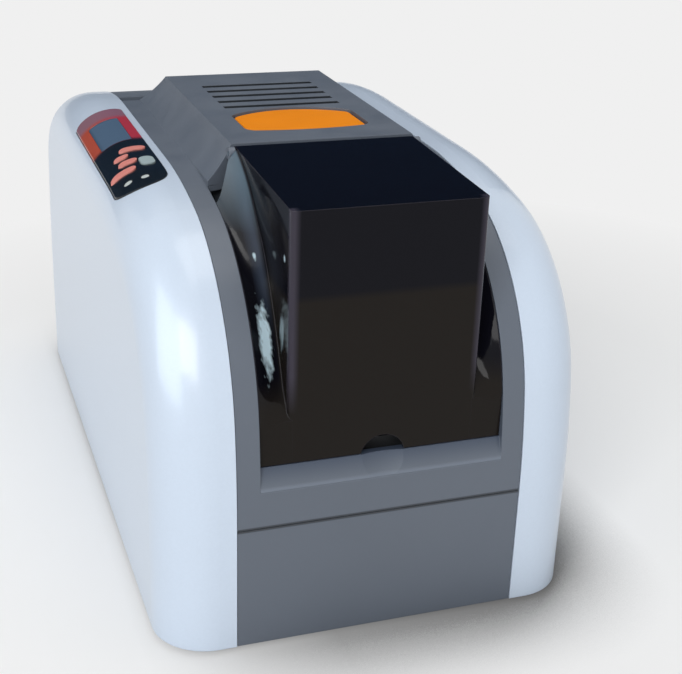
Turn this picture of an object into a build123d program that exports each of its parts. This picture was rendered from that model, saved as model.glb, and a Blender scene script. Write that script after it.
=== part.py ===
from build123d import *
from math import acos, atan2, cos, hypot, radians, sin, tan
import os

# Desktop card printer. Everything is laid out in x (across), d (depth back from the front
# face) and z (up from the table); each piece is moved at the end so that the origin is the
# middle of the foot print.

# ---- overall form ----
WIDTH = 204.0
DEPTH = 376.0
SHELL_TOP = 193.5          # flat top of the two side shells
HOOD_RISE = 15.7           # how far the raised hood stands above the shell tops
FOOT_GAP = 2.5             # housing's lower edge above the table
CENTRE_WIDTH = 136.0       # grey centre between the two shells
EDGE_FLAT = 8.0            # flat part of a shell's top beside its rounding
WALL = 2.5                 # moulded housing wall
SEAM = 0.3                 # gap at every outer seam
FLUSH_DROP = 0.4           # centre pieces lie this far below the shell surface
LIP_DEPTH = 9.6            # depth of the inward lips along the seams

# side outline, as (radius, turn in degrees) from the flat top outwards
FRONT_ARCS = ((283.0, 12.4), (91.5, 69.1), (324.0, 8.5))
REAR_ARCS = ((290.0, 15.0), (48.0, 60.0), (400.0, 13.0))

# ---- lid: front frame with the raised hood ----
PARTING_Z = 62.8           # parting line over the lower front panel
OPENING_WIDTH = 114.4      # hopper opening in the front frame
SILL_Z = 90.7
SILL_DEPTH = 4.4
SILL_RISE = 10.2           # height of the sloping sill
SCOOP_RADIUS = 40.0        # shallow thumb dish in the sill
SCOOP_DEPTH = 1.2
SCOOP_DROP = 2.2           # middle of the dish below the sill's edge
HOOD_TOP_WIDTH = 90.0
FACET_SAG = 0.9            # hollow of the hood's side facets
HOOD_FRONT = 99.0
HOOD_CORNER = 95.5         # where the hood's front corners meet the frame
HOOD_SLOPE = 15.0          # length of the hood's slope down at the back
BEHIND_LID = 114.0         # housing behind the lid
SKIRT_INSET = 8.0          # the lid's side rims end this far before its rear edge
VENT_COUNT = 5
VENT_PITCH = 12.0
VENT_WIDTH = 5.0
VENT_LENGTH = 62.0
VENT_FIRST = 169.0
POCKET_PLAY = 1.0          # left below the button when it is pressed
POCKET_GAP = 1.2           # all round the release button

# ---- lid hinge and latch ----
KNUCKLE_R = 3.2
HINGE_PIN_R = 1.5
HINGE_REACH = 4.0          # hinge axis behind the lid
GUTTER_REACH = 6.0         # rear panel's front edge behind the hinge axis
GUTTER_Z = 183.0
KNUCKLE_X = 38.0
LID_KNUCKLE = 16.0
FRAME_KNUCKLE = 8.0
RUN = 0.05                 # radial clearance of a running fit
GAP = 0.3                  # gap between pieces that pass each other
LATCH_D = 110.0
LATCH_Z = 180.0
LATCH_ROD_R = 2.5
STRIKER_D = 118.0
STRIKER_Z = 158.0
STRIKER_R = 2.0

# ---- hopper cover ----
BOX_WIDTH = 88.0
BOX_FACE = 4.7
BOX_DROP = 0.4             # box top below the hood top
BOX_FALL = 3.0             # its top falls this much towards the front
COVER_WALL = 2.0
COVER_PIVOT_R = 3.2
COVER_PIN_R = 1.2
EAR_WIDTH = 3.0            # ears of the lid that hold the cover's pins
WING_EDGE = 0.8            # wing's outer edge below the frame
WING_RECESS = 8.0          # depth of the scooped wings beside the box
WING_SAG = 0.9             # hollow of the wings across the printer
WING_REAR = 80.0           # rear end of the wing's outer edge
# turn along the front outline, and the wing's level beside the box: 1 is as high as the
# hood, -1 as deep as the recess
WING_LEVELS = (
    (2.0, 1.0), (8.0, 1.13), (14.0, 0.67), (22.0, 0.3), (32.0, 0.0), (44.0, -0.6),
    (56.0, -0.94), (66.0, -1.0), (74.0, -0.78), (81.5, -0.08), (86.0, 0.06),
)
NOTCH_WIDTH = 21.0
NOTCH_RISE = 8.2
BOX_CORNER_R = 2.5
WING_MARGIN = 40.0         # the wing's outline starts this far below the cover

# ---- release button ----
BUTTON_WIDTH = 61.0
BUTTON_FRONT = 119.0
BUTTON_REAR = 162.0
BUTTON_THICK = 4.5
BUTTON_PROUD = -0.8        # top relative to the hood top
BUTTON_TRAVEL = 3.0
BUTTON_BULGE = 11.0        # bow of the button's rear edge
BUTTON_BOW = 3.0           # bow of its front edge
BUTTON_CORNER = 5.0
BUTTON_EDGE = 1.2
STEM_R = 3.0
STEM_X = 20.0
STEM_GAP = 0.6             # play between a stem and its lever
LEVER_THICK = 4.0
HOOK_REACH = 6.0           # hooks inside the side plates
HOOK_THICK = 3.0

# ---- cards, hopper and card path ----
CARD_LENGTH = 85.6
CARD_WIDTH = 54.0
CARD_PLANE = 124.4
BIN_PLAY = 1.5             # play round a card in the hopper
BIN_FRONT = 12.5
BIN_HEIGHT = 60.0
BIN_WALL = 2.0
TRAY_FLOOR = 94.0
TRAY_WALL_TOP = 110.0
ROLLER_R = 8.0
SHAFT_R = 3.0
ROLLER_LENGTH = 56.0
PICK_D = 88.0
FEED_D = 120.0
FEED_TO_HEAD = 70.0
HEAD_TO_EXIT = 54.0
CLEANER_SHIFT = 2.0        # cleaning roller behind the middle of its two neighbours
PINCH_R = 6.0
PINCH_GAP = 0.6            # nip left for a card
PINCH_SHAFT_R = 2.0
PICK_SLOT = 18.0
GATE_HEIGHT = 1.3
PEDESTAL_X = 44.0
PEDESTAL_FRONT = 13.0
PULLEY_R = 8.0
PULLEY_WIDTH = 5.0
BELT_THICK = 1.2
PLATE_INSET = 8.0          # steel side plates inside the centre's width
PLATE_THICK = 1.5
PLATE_FRONT = 103.0
PLATE_REAR_GAP = 24.0      # behind the plates
PLATE_TOP = 172.0
PLATE_LEG = 75.0
TIE_R = 4.0
BUSH_R = 5.5
BUSH_FLANGE_R = 7.5

# ---- print head and ribbon ----
HEAD_TO_PIVOT = 56.0
HEAD_PIVOT_Z = 166.0
HEAD_PIVOT_R = 2.5
HEAD_WIDTH = 62.0
HEAD_GAP = 0.9
SPOOL_Z = 148.0
HEAD_TO_SUPPLY = 36.0
HEAD_TO_TAKEUP = 34.0
SPOOL_CORE_R = 5.0
SUPPLY_FILM_R = 12.0
TAKEUP_FILM_R = 8.0
FLANGE_R = 14.0
FILM_WIDTH = 58.0
FILM_THICK = 0.2
CASSETTE_X = 31.5
CASSETTE_BOSS_R = 8.0
CASSETTE_BAR_REACH = 19.0  # cross bars beyond the spools
SPOOL_PIN_R = 2.5
FILM_LIFT = 0.3            # film above the card plane
ARM_X = 37.0

# ---- drive, electrics ----
HEAD_TO_MOTOR = 16.0
MOTOR_Z = 58.0
MOTOR_SIZE = 42.0
MOTOR_LENGTH = 36.0
MOTOR_PULLEY_R = 5.0
DRIVEN_PULLEY_R = 10.0
MOTOR_SHAFT_R = 2.5
MOTOR_BOSS_R = 11.0
FAN_SIZE = 50.0
FAN_THICK = 12.0
FAN_Z = 108.0
BULKHEAD_LOW = 50.0        # bulkhead's lower edge above the base
BULKHEAD_TOP = 4.0         # bulkhead above the fan
HUB_R = 9.0
FAN_PIN_R = 1.5
FAN_BLADES = 7
BLADE_TWIST = 35.0
REAR_VENTS = 6
REAR_VENT_Z = 86.0
REAR_VENT_PITCH = 8.0
REAR_VENT_WIDTH = 3.5
SOCKET_X = -40.0
SOCKET_Z = 30.0
SOCKET_WIDTH = 24.0
SOCKET_HEIGHT = 16.5
SWITCH_X = -8.0
SWITCH_WIDTH = 13.0
SWITCH_HEIGHT = 19.0
SWITCH_THROW = 14.0
SWITCH_PIN_R = 1.5
USB_X = 22.0
USB_SIZE = 9.0
NETWORK_X = 46.0
NETWORK_SIZE = 13.0
PORT_DEPTH = 12.0
SCREW_INSET = 8.0
SCREW_R = 3.0
SCREW_HEIGHTS = (20.0, 52.0)
SCREW_SINK = 0.4           # heads sit in shallow counterbores
SUPPLY_GAP = 2.5           # power supply beside the motor's belt
SUPPLY_SPAN = (120.0, 290.0)
SUPPLY_HEIGHT = 60.0
SUPPLY_SIDE = 6.0          # power supply inside the housing's side
SUPPLY_SLOTS = (40.0, 15.0)  # its vents' two ends below its top
BOARD_GAP = 10.0           # control board beside the centre
BOARD_THICK = 1.6
BOARD_SPAN = (90.0, 300.0)
BOARD_HEIGHT = 130.0
CHIPS = (                  # d, height on the board, length, height, thickness
    (120.0, 60.0, 24.0, 24.0, 3.0), (170.0, 80.0, 16.0, 16.0, 3.0),
    (210.0, 40.0, 30.0, 20.0, 10.0), (250.0, 90.0, 12.0, 30.0, 8.0),
    (140.0, 110.0, 40.0, 10.0, 6.0),
)

# ---- control panel on the left shell ----
PANEL_MARGINS = (4.2, 4.8) # to the shell's inner and outer edges
PANEL_FRONT = 103.0
PANEL_REAR = 240.0
PANEL_CORNER = 4.0
PANEL_PROUD = 0.4
SCREEN_MARGINS = (5.4, 4.2)
SCREEN_FRONT = 175.0
SCREEN_REAR = 220.0
KEY_TRAVEL = 0.8
KEY_REST = 0.2             # pressed keys stand this far above the shell
KEYS = {                   # name: x from the panel's middle, d, length across, width, turn
    "up_key": (3.7, 157.0, 13.0, 5.5, -12.0),
    "left_key": (-3.3, 148.5, 7.0, 5.0, -12.0),
    "right_key": (-1.8, 138.5, 9.0, 5.5, -12.0),
    "down_key": (-5.8, 128.0, 12.0, 5.5, -12.0),
    "menu_key": (6.7, 133.5, 7.0, 12.0, 0.0),
}
LAMPS = ((1.9, 113.2), (-5.9, 114.9))
LAMP_R = 1.9

# ---- base ----
TRAY_THICK = 3.0
TRAY_RIM = 9.0
TRAY_INSET = 3.2           # base tray inside the housing walls
TRAY_REAR_INSET = 4.4
FOOT_R = 9.0
FOOT_HEIGHT = 3.2
FOOT_X = 72.0
FOOT_D = 40.0

# ---- worked out from the sizes above ----
HALF_WIDTH = WIDTH / 2
HALF_CENTRE = CENTRE_WIDTH / 2
EDGE_RADIUS = HALF_WIDTH - HALF_CENTRE - EDGE_FLAT
CENTRE_X = HALF_CENTRE - SEAM
HOOD_TOP = SHELL_TOP + HOOD_RISE
FRAME_TOP = SHELL_TOP - FLUSH_DROP
HALF_OPENING = OPENING_WIDTH / 2
HALF_HOOD = HOOD_TOP_WIDTH / 2
LID_REAR = DEPTH - BEHIND_LID
HOOD_REAR = LID_REAR - HOOD_SLOPE
SKIRT_REAR = LID_REAR - SKIRT_INSET
HINGE_D = LID_REAR + HINGE_REACH
HINGE_Z = FRAME_TOP - KNUCKLE_R
BOX_TOP = HOOD_TOP - BOX_DROP
COVER_AXIS_D = HOOD_FRONT - GAP - COVER_PIVOT_R
COVER_AXIS_Z = BOX_TOP - COVER_PIVOT_R
HALF_BOX = BOX_WIDTH / 2
WING_REACH = HALF_OPENING - GAP
BUTTON_TOP = HOOD_TOP + BUTTON_PROUD
POCKET_DEPTH = BUTTON_THICK - BUTTON_PROUD + BUTTON_TRAVEL + POCKET_PLAY
KEY_PROUD = KEY_TRAVEL + KEY_REST
STEM_D = (BUTTON_FRONT + BUTTON_REAR) / 2
PLATEN_D = FEED_D + FEED_TO_HEAD
TRANSPORT_D = PLATEN_D + HEAD_TO_EXIT
HEAD_PIVOT_D = PLATEN_D + HEAD_TO_PIVOT
SUPPLY_D = PLATEN_D + HEAD_TO_SUPPLY
TAKEUP_D = PLATEN_D - HEAD_TO_TAKEUP
CLEANER_D = (FEED_D + TAKEUP_D) / 2 + CLEANER_SHIFT
MOTOR_D = PLATEN_D + HEAD_TO_MOTOR
ROLLER_Z = CARD_PLANE - ROLLER_R
PINCH_Z = CARD_PLANE + PINCH_GAP + PINCH_R
BASE_TOP = FOOT_HEIGHT + TRAY_THICK
RIM_TOP = FOOT_HEIGHT + TRAY_RIM
PLATE_X = HALF_CENTRE - PLATE_INSET
PLATE_OUT = PLATE_X + PLATE_THICK
PLATE_REAR = DEPTH - PLATE_REAR_GAP
HOOK_X = PLATE_X - HOOK_REACH
SCREW_X = HALF_CENTRE - SCREW_INSET
PANEL_INNER = HALF_CENTRE + PANEL_MARGINS[0]
PANEL_OUTER = HALF_WIDTH - PANEL_MARGINS[1]
PANEL_X = -(PANEL_INNER + PANEL_OUTER) / 2
BIN_LENGTH = CARD_LENGTH + BIN_PLAY
BIN_HALF = (CARD_WIDTH + BIN_PLAY) / 2
BIN_REAR = BIN_FRONT + BIN_LENGTH
BIN_TOP = CARD_PLANE + BIN_HEIGHT
BELT_X = PLATE_OUT + 2.0
MOTOR_BELT_X = BELT_X + PULLEY_WIDTH + 2.0
SUPPLY_X = MOTOR_BELT_X + PULLEY_WIDTH + SUPPLY_GAP
BOARD_X = HALF_CENTRE + BOARD_GAP


def save(name, *pieces):
    """Writes one node; several separate pieces become a group of solids."""
    moved = [Pos(0, -DEPTH / 2, 0) * solid for piece in pieces for solid in piece.solids()]
    export_step(Compound(moved), f"parts/{name}.step")


def block(x0, x1, d0, d1, z0, z1):
    centre = Pos((x0 + x1) / 2, (d0 + d1) / 2, (z0 + z1) / 2)
    return centre * Box(abs(x1 - x0), abs(d1 - d0), abs(z1 - z0))


def bar_x(d, z, radius, x0, x1):
    """A round bar across the printer."""
    return extrude(Plane(origin=(x0, d, z), z_dir=(1, 0, 0)) * Circle(radius), x1 - x0)


def bar_d(x, z, radius, d0, d1):
    """A round bar along the printer's depth."""
    return extrude(Plane(origin=(x, d0, z), z_dir=(0, 1, 0)) * Circle(radius), d1 - d0)


def bar_z(x, d, radius, z0, z1):
    return extrude(Plane(origin=(x, d, z0), z_dir=(0, 0, 1)) * Circle(radius), z1 - z0)


def from_side(sketch, x0, x1):
    """Extrudes a (d, z) outline across the printer."""
    plane = Plane(origin=(x0, 0, 0), x_dir=(0, 1, 0), z_dir=(1, 0, 0))
    return extrude(plane * sketch, x1 - x0)


def from_front(sketch, d0, d1):
    """Extrudes an (x, z) outline along the printer's depth."""
    plane = Plane(origin=(0, d1, 0), x_dir=(1, 0, 0), z_dir=(0, -1, 0))
    return extrude(plane * sketch, d1 - d0)


def from_above(sketch, z0, z1):
    """Extrudes an (x, d) outline upwards."""
    return extrude(Plane(origin=(0, 0, z0)) * sketch, z1 - z0)


def polygon(*points):
    return make_face(Polyline(*points, close=True))


def both_sides(shape):
    return shape + mirror(shape, about=Plane.YZ)


# ---- the side outline that every housing piece follows ----

def arcs_span(arcs):
    """How far a run of tangent arcs goes along and down from the flat top."""
    along, down, angle = 0.0, 0.0, 0.0
    for radius, turn in arcs:
        nxt = angle + turn
        along += radius * (sin(radians(nxt)) - sin(radians(angle)))
        down += radius * (cos(radians(angle)) - cos(radians(nxt)))
        angle = nxt
    return along, down, angle


def arc_run(start, heading, arcs, side, inset):
    edges = []
    for radius, turn in arcs:
        arc = JernArc(start, heading, radius - inset, side * turn)
        edges.append(arc)
        start, heading = arc @ 1, arc % 1
    return edges, start


def housing_outline(inset, z_low):
    """The housing seen from the side, moved inwards by inset."""
    top = SHELL_TOP - inset
    front_along, _, _ = arcs_span(FRONT_ARCS)
    rear_along, rear_down, rear_angle = arcs_span(REAR_ARCS)
    lean = tan(radians(90 - rear_angle))
    rear_foot = (SHELL_TOP - rear_down - FOOT_GAP) * lean
    flat_front = front_along
    flat_rear = DEPTH - rear_along - rear_foot
    front, front_end = arc_run((flat_front, top), (-1, 0), FRONT_ARCS, 1, inset)
    rear, rear_end = arc_run((flat_rear, top), (1, 0), REAR_ARCS, -1, inset)
    low_front = (inset, z_low)
    low_rear = (rear_end.X + (rear_end.Y - z_low) * lean, z_low)
    edges = [
        Line((flat_front, top), (flat_rear, top)),
        *rear,
        Line(rear_end, low_rear),
        Line(low_rear, low_front),
        Line(low_front, front_end),
        *front,
    ]
    return make_face(edges)


def front_outline(inset, z_low):
    """The front part only of the housing outline, back to where the flat top begins."""
    flat_front, _, _ = arcs_span(FRONT_ARCS)
    top = (flat_front, SHELL_TOP - inset)
    front, front_end = arc_run(top, (-1, 0), FRONT_ARCS, 1, inset)
    back = Polyline(front_end, (inset, z_low), (flat_front, z_low), top)
    return make_face([*front, *back.edges()])


def front_point(turn, inset):
    """A point of the front outline, given by its turn from the flat top, moved inwards."""
    flat_front, _, _ = arcs_span(FRONT_ARCS)
    passed, left = [], turn
    for radius, span in FRONT_ARCS:
        passed.append((radius, min(span, left)))
        left -= passed[-1][1]
    along, down, angle = arcs_span(passed)
    d = flat_front - along + inset * sin(radians(angle))
    return d, SHELL_TOP - down - inset * cos(radians(angle))


def outline_band(inset, thick, z_low=FOOT_GAP):
    """A strip of the housing's skin, seen from the side."""
    return housing_outline(inset, z_low) - housing_outline(inset + thick, z_low - 5)


def shell_form(inset, x_in, z_low):
    """The right shell as a solid, moved inwards by inset, with its big rounded edge."""
    solid = from_side(housing_outline(inset, z_low), x_in, HALF_WIDTH - inset)
    outer = solid.edges().group_by(Axis.X)[-1]
    rounded = [edge for edge in outer if edge.center().Z > z_low + 1]
    return fillet(rounded, EDGE_RADIUS - inset)


# ---- side shells and control panel ----

def panel_outline(margin):
    """The control panel from above: squared at the back, rounded at the front."""
    inner, outer = -PANEL_INNER + margin, -PANEL_OUTER - margin
    rear, front = PANEL_REAR + margin, PANEL_FRONT - margin
    shoulder = PANEL_FRONT + (PANEL_OUTER - PANEL_INNER) / 2
    edges = Polyline((inner, shoulder), (inner, rear), (outer, rear), (outer, shoulder))
    nose = ThreePointArc((outer, shoulder), ((inner + outer) / 2, front), (inner, shoulder))
    face = make_face([*edges.edges(), nose])
    corners = face.vertices().group_by(Axis.Y)[-1]
    return fillet(corners, PANEL_CORNER + margin)


def key_outline(name, margin):
    x, d, length, width, turn = KEYS[name]
    size = (length + 2 * margin, width + 2 * margin)
    return Pos(PANEL_X + x, d) * Rot(0, 0, turn) * RectangleRounded(*size, min(size) * 0.45)


def screen_outline(margin):
    inner, outer = PANEL_INNER + SCREEN_MARGINS[0], PANEL_OUTER - SCREEN_MARGINS[1]
    long = SCREEN_REAR - SCREEN_FRONT + 2 * margin
    middle = Pos(-(inner + outer) / 2, (SCREEN_FRONT + SCREEN_REAR) / 2)
    return middle * RectangleRounded(outer - inner + 2 * margin, long, 1.5)


def shell_layer(outer_inset, inner_inset):
    """A layer of the left shell's skin, between two insets."""
    layer = shell_form(outer_inset, HALF_CENTRE, FOOT_GAP)
    layer -= shell_form(inner_inset, HALF_CENTRE - 1, 0)
    return mirror(layer, about=Plane.YZ)


def side_shell():
    shell = shell_form(0, HALF_CENTRE, FOOT_GAP)
    shell -= shell_form(WALL, HALF_CENTRE + WALL, FOOT_GAP - 5)
    mouth = housing_outline(LIP_DEPTH, FOOT_GAP - 5)
    shell -= from_side(mouth, HALF_CENTRE - 1, HALF_CENTRE + WALL + 1)
    foot = from_side(housing_outline(WALL, FOOT_GAP - 5), HALF_CENTRE - 1, HALF_CENTRE + WALL + 1)
    return shell - (foot & block(0, WIDTH, 0, DEPTH, 0, RIM_TOP + GAP))


def make_shells():
    shell = side_shell()
    save("right_shell", shell)
    left = mirror(shell, about=Plane.YZ)
    left -= from_above(panel_outline(GAP), SHELL_TOP - 2 * EDGE_RADIUS, SHELL_TOP + 5)
    save("left_shell", left)


def make_panel():
    z0, z1 = SHELL_TOP - 2 * EDGE_RADIUS, SHELL_TOP + 5
    bezel = shell_layer(-PANEL_PROUD, WALL) & from_above(panel_outline(0), z0, z1)
    bezel -= from_above(screen_outline(GAP / 2), z0, z1)
    for name in KEYS:
        bezel -= from_above(key_outline(name, GAP), z0, z1)
    for x, d in LAMPS:
        bezel -= bar_z(PANEL_X + x, d, LAMP_R + GAP / 2, z0, z1)
    save("panel_bezel", bezel)
    glass = shell_layer(-PANEL_PROUD / 2, WALL)
    save("lcd_window", glass & from_above(screen_outline(0), z0, z1))
    save("status_lamps", *[glass & bar_z(PANEL_X + x, d, LAMP_R, z0, z1) for x, d in LAMPS])
    cap = shell_layer(-KEY_PROUD, WALL)
    for name in KEYS:
        save(name, cap & from_above(key_outline(name, 0), z0, z1))


# ---- lid ----

def hood_plan(margin):
    """The hood from above, with its two cut front corners."""
    half, corner = HALF_OPENING - margin, HALF_HOOD - margin / 2
    points = [(-half, HOOD_CORNER + margin), (-corner, HOOD_FRONT + margin)]
    points += [(corner, HOOD_FRONT + margin), (half, HOOD_CORNER + margin)]
    points += [(half, LID_REAR - margin), (-half, LID_REAR - margin)]
    return polygon(*points)


def hood_section(margin, z_low):
    """The hood's cross-section, with slightly hollow side facets."""
    base, top = HALF_OPENING - margin, HALF_HOOD - margin / 2
    z_base, z_top = FRAME_TOP, HOOD_TOP - margin
    middle = ((base + top) / 2 - FACET_SAG, (z_base + z_top) / 2 - FACET_SAG / 2)
    left = ThreePointArc((-top, z_top), (-middle[0], middle[1]), (-base, z_base))
    right = ThreePointArc((base, z_base), middle, (top, z_top))
    floor = Polyline((-base, z_base), (-base, z_low), (base, z_low), (base, z_base))
    return make_face([Line((top, z_top), (-top, z_top)), left, *floor.edges(), right])


def hood_rear(margin):
    """Side view of the hood, sloping down at the back."""
    z_low, z_top = FRAME_TOP - WALL - 1, HOOD_TOP + 1
    slope = (LID_REAR - HOOD_REAR) / HOOD_RISE
    back = LID_REAR - margin
    points = [(0, z_low), (back, z_low), (back, FRAME_TOP)]
    points += [(back - (z_top - FRAME_TOP) * slope, z_top), (0, z_top)]
    return polygon(*points)


def hood_solid(margin, z_low):
    solid = from_front(hood_section(margin, z_low), 0, DEPTH)
    solid &= from_above(hood_plan(margin), z_low, HOOD_TOP + 1)
    return solid & from_side(hood_rear(margin), -HALF_OPENING, HALF_OPENING)


def lid_range(d_back):
    """The part of the housing that belongs to the lid."""
    return block(-HALF_WIDTH, HALF_WIDTH, -1, d_back, PARTING_Z, HOOD_TOP)


def opening_cut():
    """The hopper opening through the front frame."""
    plan = [(-HALF_OPENING, -5), (HALF_OPENING, -5), (HALF_OPENING, HOOD_CORNER)]
    plan += [(HALF_HOOD, HOOD_FRONT), (-HALF_HOOD, HOOD_FRONT), (-HALF_OPENING, HOOD_CORNER)]
    return from_above(polygon(*plan), SILL_Z - SILL_RISE, HOOD_TOP + 5)


def sill():
    """The sloping sill under the hopper cover, with a thumb dish in its slope."""
    z0 = SILL_Z - SILL_RISE
    front, back = FLUSH_DROP, BOX_FACE + COVER_WALL + 2
    strip = polygon(
        (front, z0), (SILL_DEPTH, SILL_Z), (back, SILL_Z), (back, SILL_Z - WALL),
        (SILL_DEPTH + WALL, SILL_Z - WALL), (front + WALL, z0),
    )
    body = from_side(strip, -HALF_OPENING, HALF_OPENING)
    lean = atan2(SILL_DEPTH - front, SILL_RISE)
    drop, lift = SCOOP_DROP, SCOOP_RADIUS - SCOOP_DEPTH
    centre_d = SILL_DEPTH - drop * tan(lean) - lift * cos(lean)
    return body - Pos(0, centre_d, SILL_Z - drop + lift * sin(lean)) * Sphere(SCOOP_RADIUS)


def button_outline(margin):
    """The release button from above: bowed a little in front and more at the rear."""
    half = BUTTON_WIDTH / 2
    toe, heel = BUTTON_FRONT + BUTTON_BOW, BUTTON_REAR - BUTTON_BULGE
    edges = [
        ThreePointArc((-half, toe), (0, BUTTON_FRONT), (half, toe)),
        Line((half, toe), (half, heel)),
        ThreePointArc((half, heel), (0, BUTTON_REAR), (-half, heel)),
        Line((-half, heel), (-half, toe)),
    ]
    face = make_face(edges)
    face = fillet(face.vertices(), BUTTON_CORNER)
    return offset(face, margin) if margin else face


def button_pocket(margin, z_low, z_high):
    return from_above(button_outline(POCKET_GAP + margin), z_low, z_high)


def lid_knuckles():
    knuckle = bar_x(HINGE_D, HINGE_Z, KNUCKLE_R, KNUCKLE_X - LID_KNUCKLE / 2,
                    KNUCKLE_X + LID_KNUCKLE / 2)
    arm = block(KNUCKLE_X - LID_KNUCKLE / 2, KNUCKLE_X + LID_KNUCKLE / 2,
                LID_REAR - 4, HINGE_D, FRAME_TOP - WALL, FRAME_TOP)
    bore = bar_x(HINGE_D, HINGE_Z, HINGE_PIN_R + RUN, 0, HALF_OPENING)
    return both_sides(knuckle + arm - bore)


def latch_eyes():
    """Two hangers under the hood that carry the latch rod."""
    inner = HALF_HOOD + 4
    eye = block(inner, inner + 4, LATCH_D - 5, LATCH_D + 5, LATCH_Z - 5, FRAME_TOP - 1)
    eye -= bar_x(LATCH_D, LATCH_Z, LATCH_ROD_R + RUN, inner - 1, inner + 5)
    return both_sides(eye)


def cover_ear(margin, x_out):
    """One ear at the hood's front corner, round the hopper cover's axis."""
    radius = COVER_PIVOT_R - GAP + margin
    inner = HALF_BOX + GAP - margin
    ear = bar_x(COVER_AXIS_D, COVER_AXIS_Z, radius, inner, x_out)
    return ear + block(inner, x_out, COVER_AXIS_D, HOOD_FRONT + WALL / 2,
                       COVER_AXIS_Z - radius, COVER_AXIS_Z + radius / 2)


def cover_lugs():
    ear = cover_ear(0, HALF_BOX + GAP + EAR_WIDTH)
    return both_sides(ear - bar_x(COVER_AXIS_D, COVER_AXIS_Z, COVER_PIN_R + RUN, 0, WIDTH))


def make_top_cover():
    band = outline_band(FLUSH_DROP, WALL)
    skin = from_side(band, -CENTRE_X, CENTRE_X) & lid_range(LID_REAR)
    skin -= opening_cut()
    skin -= hood_solid(WALL, FRAME_TOP - WALL - 1)
    skirt = outline_band(FLUSH_DROP, LIP_DEPTH)
    rims = from_side(skirt, CENTRE_X - WALL, CENTRE_X) & lid_range(SKIRT_REAR)
    flange = from_side(skirt, HALF_OPENING, HALF_OPENING + COVER_WALL)
    flange &= block(0, HALF_WIDTH, -1, HOOD_CORNER + 2, SILL_Z - SILL_RISE, HOOD_TOP)
    lid = skin + both_sides(rims + flange) + sill()
    hood = hood_solid(0, FRAME_TOP - WALL) - hood_solid(WALL, FRAME_TOP - WALL - 1)
    lid += hood
    lid -= button_pocket(0, HOOD_TOP - POCKET_DEPTH, HOOD_TOP + 5)
    tub_low = HOOD_TOP - POCKET_DEPTH - WALL
    tub = button_pocket(WALL, tub_low, HOOD_TOP - WALL / 2)
    tub -= button_pocket(0, HOOD_TOP - POCKET_DEPTH, HOOD_TOP)
    lid += tub
    for x in (-STEM_X, STEM_X):
        lid -= bar_z(x, STEM_D, STEM_R + GAP, tub_low - 1, HOOD_TOP)
    for row in range(VENT_COUNT):
        d = VENT_FIRST + row * VENT_PITCH
        lid -= block(-VENT_LENGTH / 2, VENT_LENGTH / 2, d - VENT_WIDTH / 2,
                     d + VENT_WIDTH / 2, HOOD_TOP - WALL - 1, HOOD_TOP + 1)
    lid += lid_knuckles()
    lid += latch_eyes()
    lid += cover_lugs()
    save("top_cover", lid)


# ---- hopper cover ----

def cover_box(wall, z_low):
    """The protruding box; with a wall it is the space inside, open at the back."""
    half = HALF_BOX - wall
    face, top = BOX_FACE + wall, BOX_TOP - wall
    front_top = top - BOX_FALL
    under_barrel = COVER_AXIS_Z - COVER_PIVOT_R - wall
    if wall:
        ahead = COVER_AXIS_D - 2 * wall
        points = [(face, z_low), (face, front_top), (ahead, top), (ahead, COVER_AXIS_Z)]
        points += [(COVER_AXIS_D - wall, under_barrel), (DEPTH, under_barrel), (DEPTH, z_low)]
        return from_side(polygon(*points), -half, half)
    back = COVER_AXIS_D - COVER_PIVOT_R
    points = [(face, z_low), (face, front_top), (COVER_AXIS_D, top)]
    points += [(COVER_AXIS_D, under_barrel), (back, under_barrel), (back, z_low)]
    solid = from_side(polygon(*points), -half, half)
    solid += bar_x(COVER_AXIS_D, COVER_AXIS_Z, COVER_PIVOT_R, -half, half)
    front = [e for e in solid.edges().filter_by(Axis.Z) if e.center().Y < face + 1]
    return fillet(front, BOX_CORNER_R)


def wing_section(x, wall, z_low):
    """The wing's side profile at one place across the printer, moved inwards by wall."""
    share = min((WING_REACH - x) / (WING_REACH - HALF_BOX), 1.0)
    sag = 4 * WING_SAG * share * (1 - share)
    curve = []
    for turn, level in WING_LEVELS:
        beside_box = -level * (HOOD_RISE if level > 0 else WING_RECESS)
        inset = WING_EDGE + (beside_box - WING_EDGE) * share + sag
        curve.append(front_point(turn, inset + wall))
    (rear, _), (front, _) = curve[0], curve[-1]
    low = z_low - WING_MARGIN
    rest = Polyline(curve[-1], (front, low), (rear, low), curve[0])
    plane = Plane(origin=(x, 0, 0), x_dir=(0, 1, 0), z_dir=(1, 0, 0))
    return plane * make_face([Spline(*curve), *rest.edges()])


def cover_wing(wall, z_low):
    """A scooped wing, from flush at the frame to the crease beside the box."""
    reach, root = WING_REACH - wall, HALF_BOX - COVER_WALL - wall
    places = (reach, (reach + HALF_BOX) / 2, HALF_BOX, root)
    wing = loft([wing_section(x, wall, z_low) for x in places])
    face, rear = BOX_FACE + wall, HOOD_FRONT - GAP + 2 * wall
    edge_rear, in_box = WING_REAR + 2 * wall, COVER_AXIS_D - COVER_PIVOT_R
    plan = polygon((0, face), (WIDTH, face), (WIDTH, edge_rear), (WING_REACH, edge_rear),
                   (HALF_BOX, rear), (HALF_BOX, in_box), (0, in_box))
    return wing & from_above(plan, z_low, HOOD_TOP)


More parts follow.
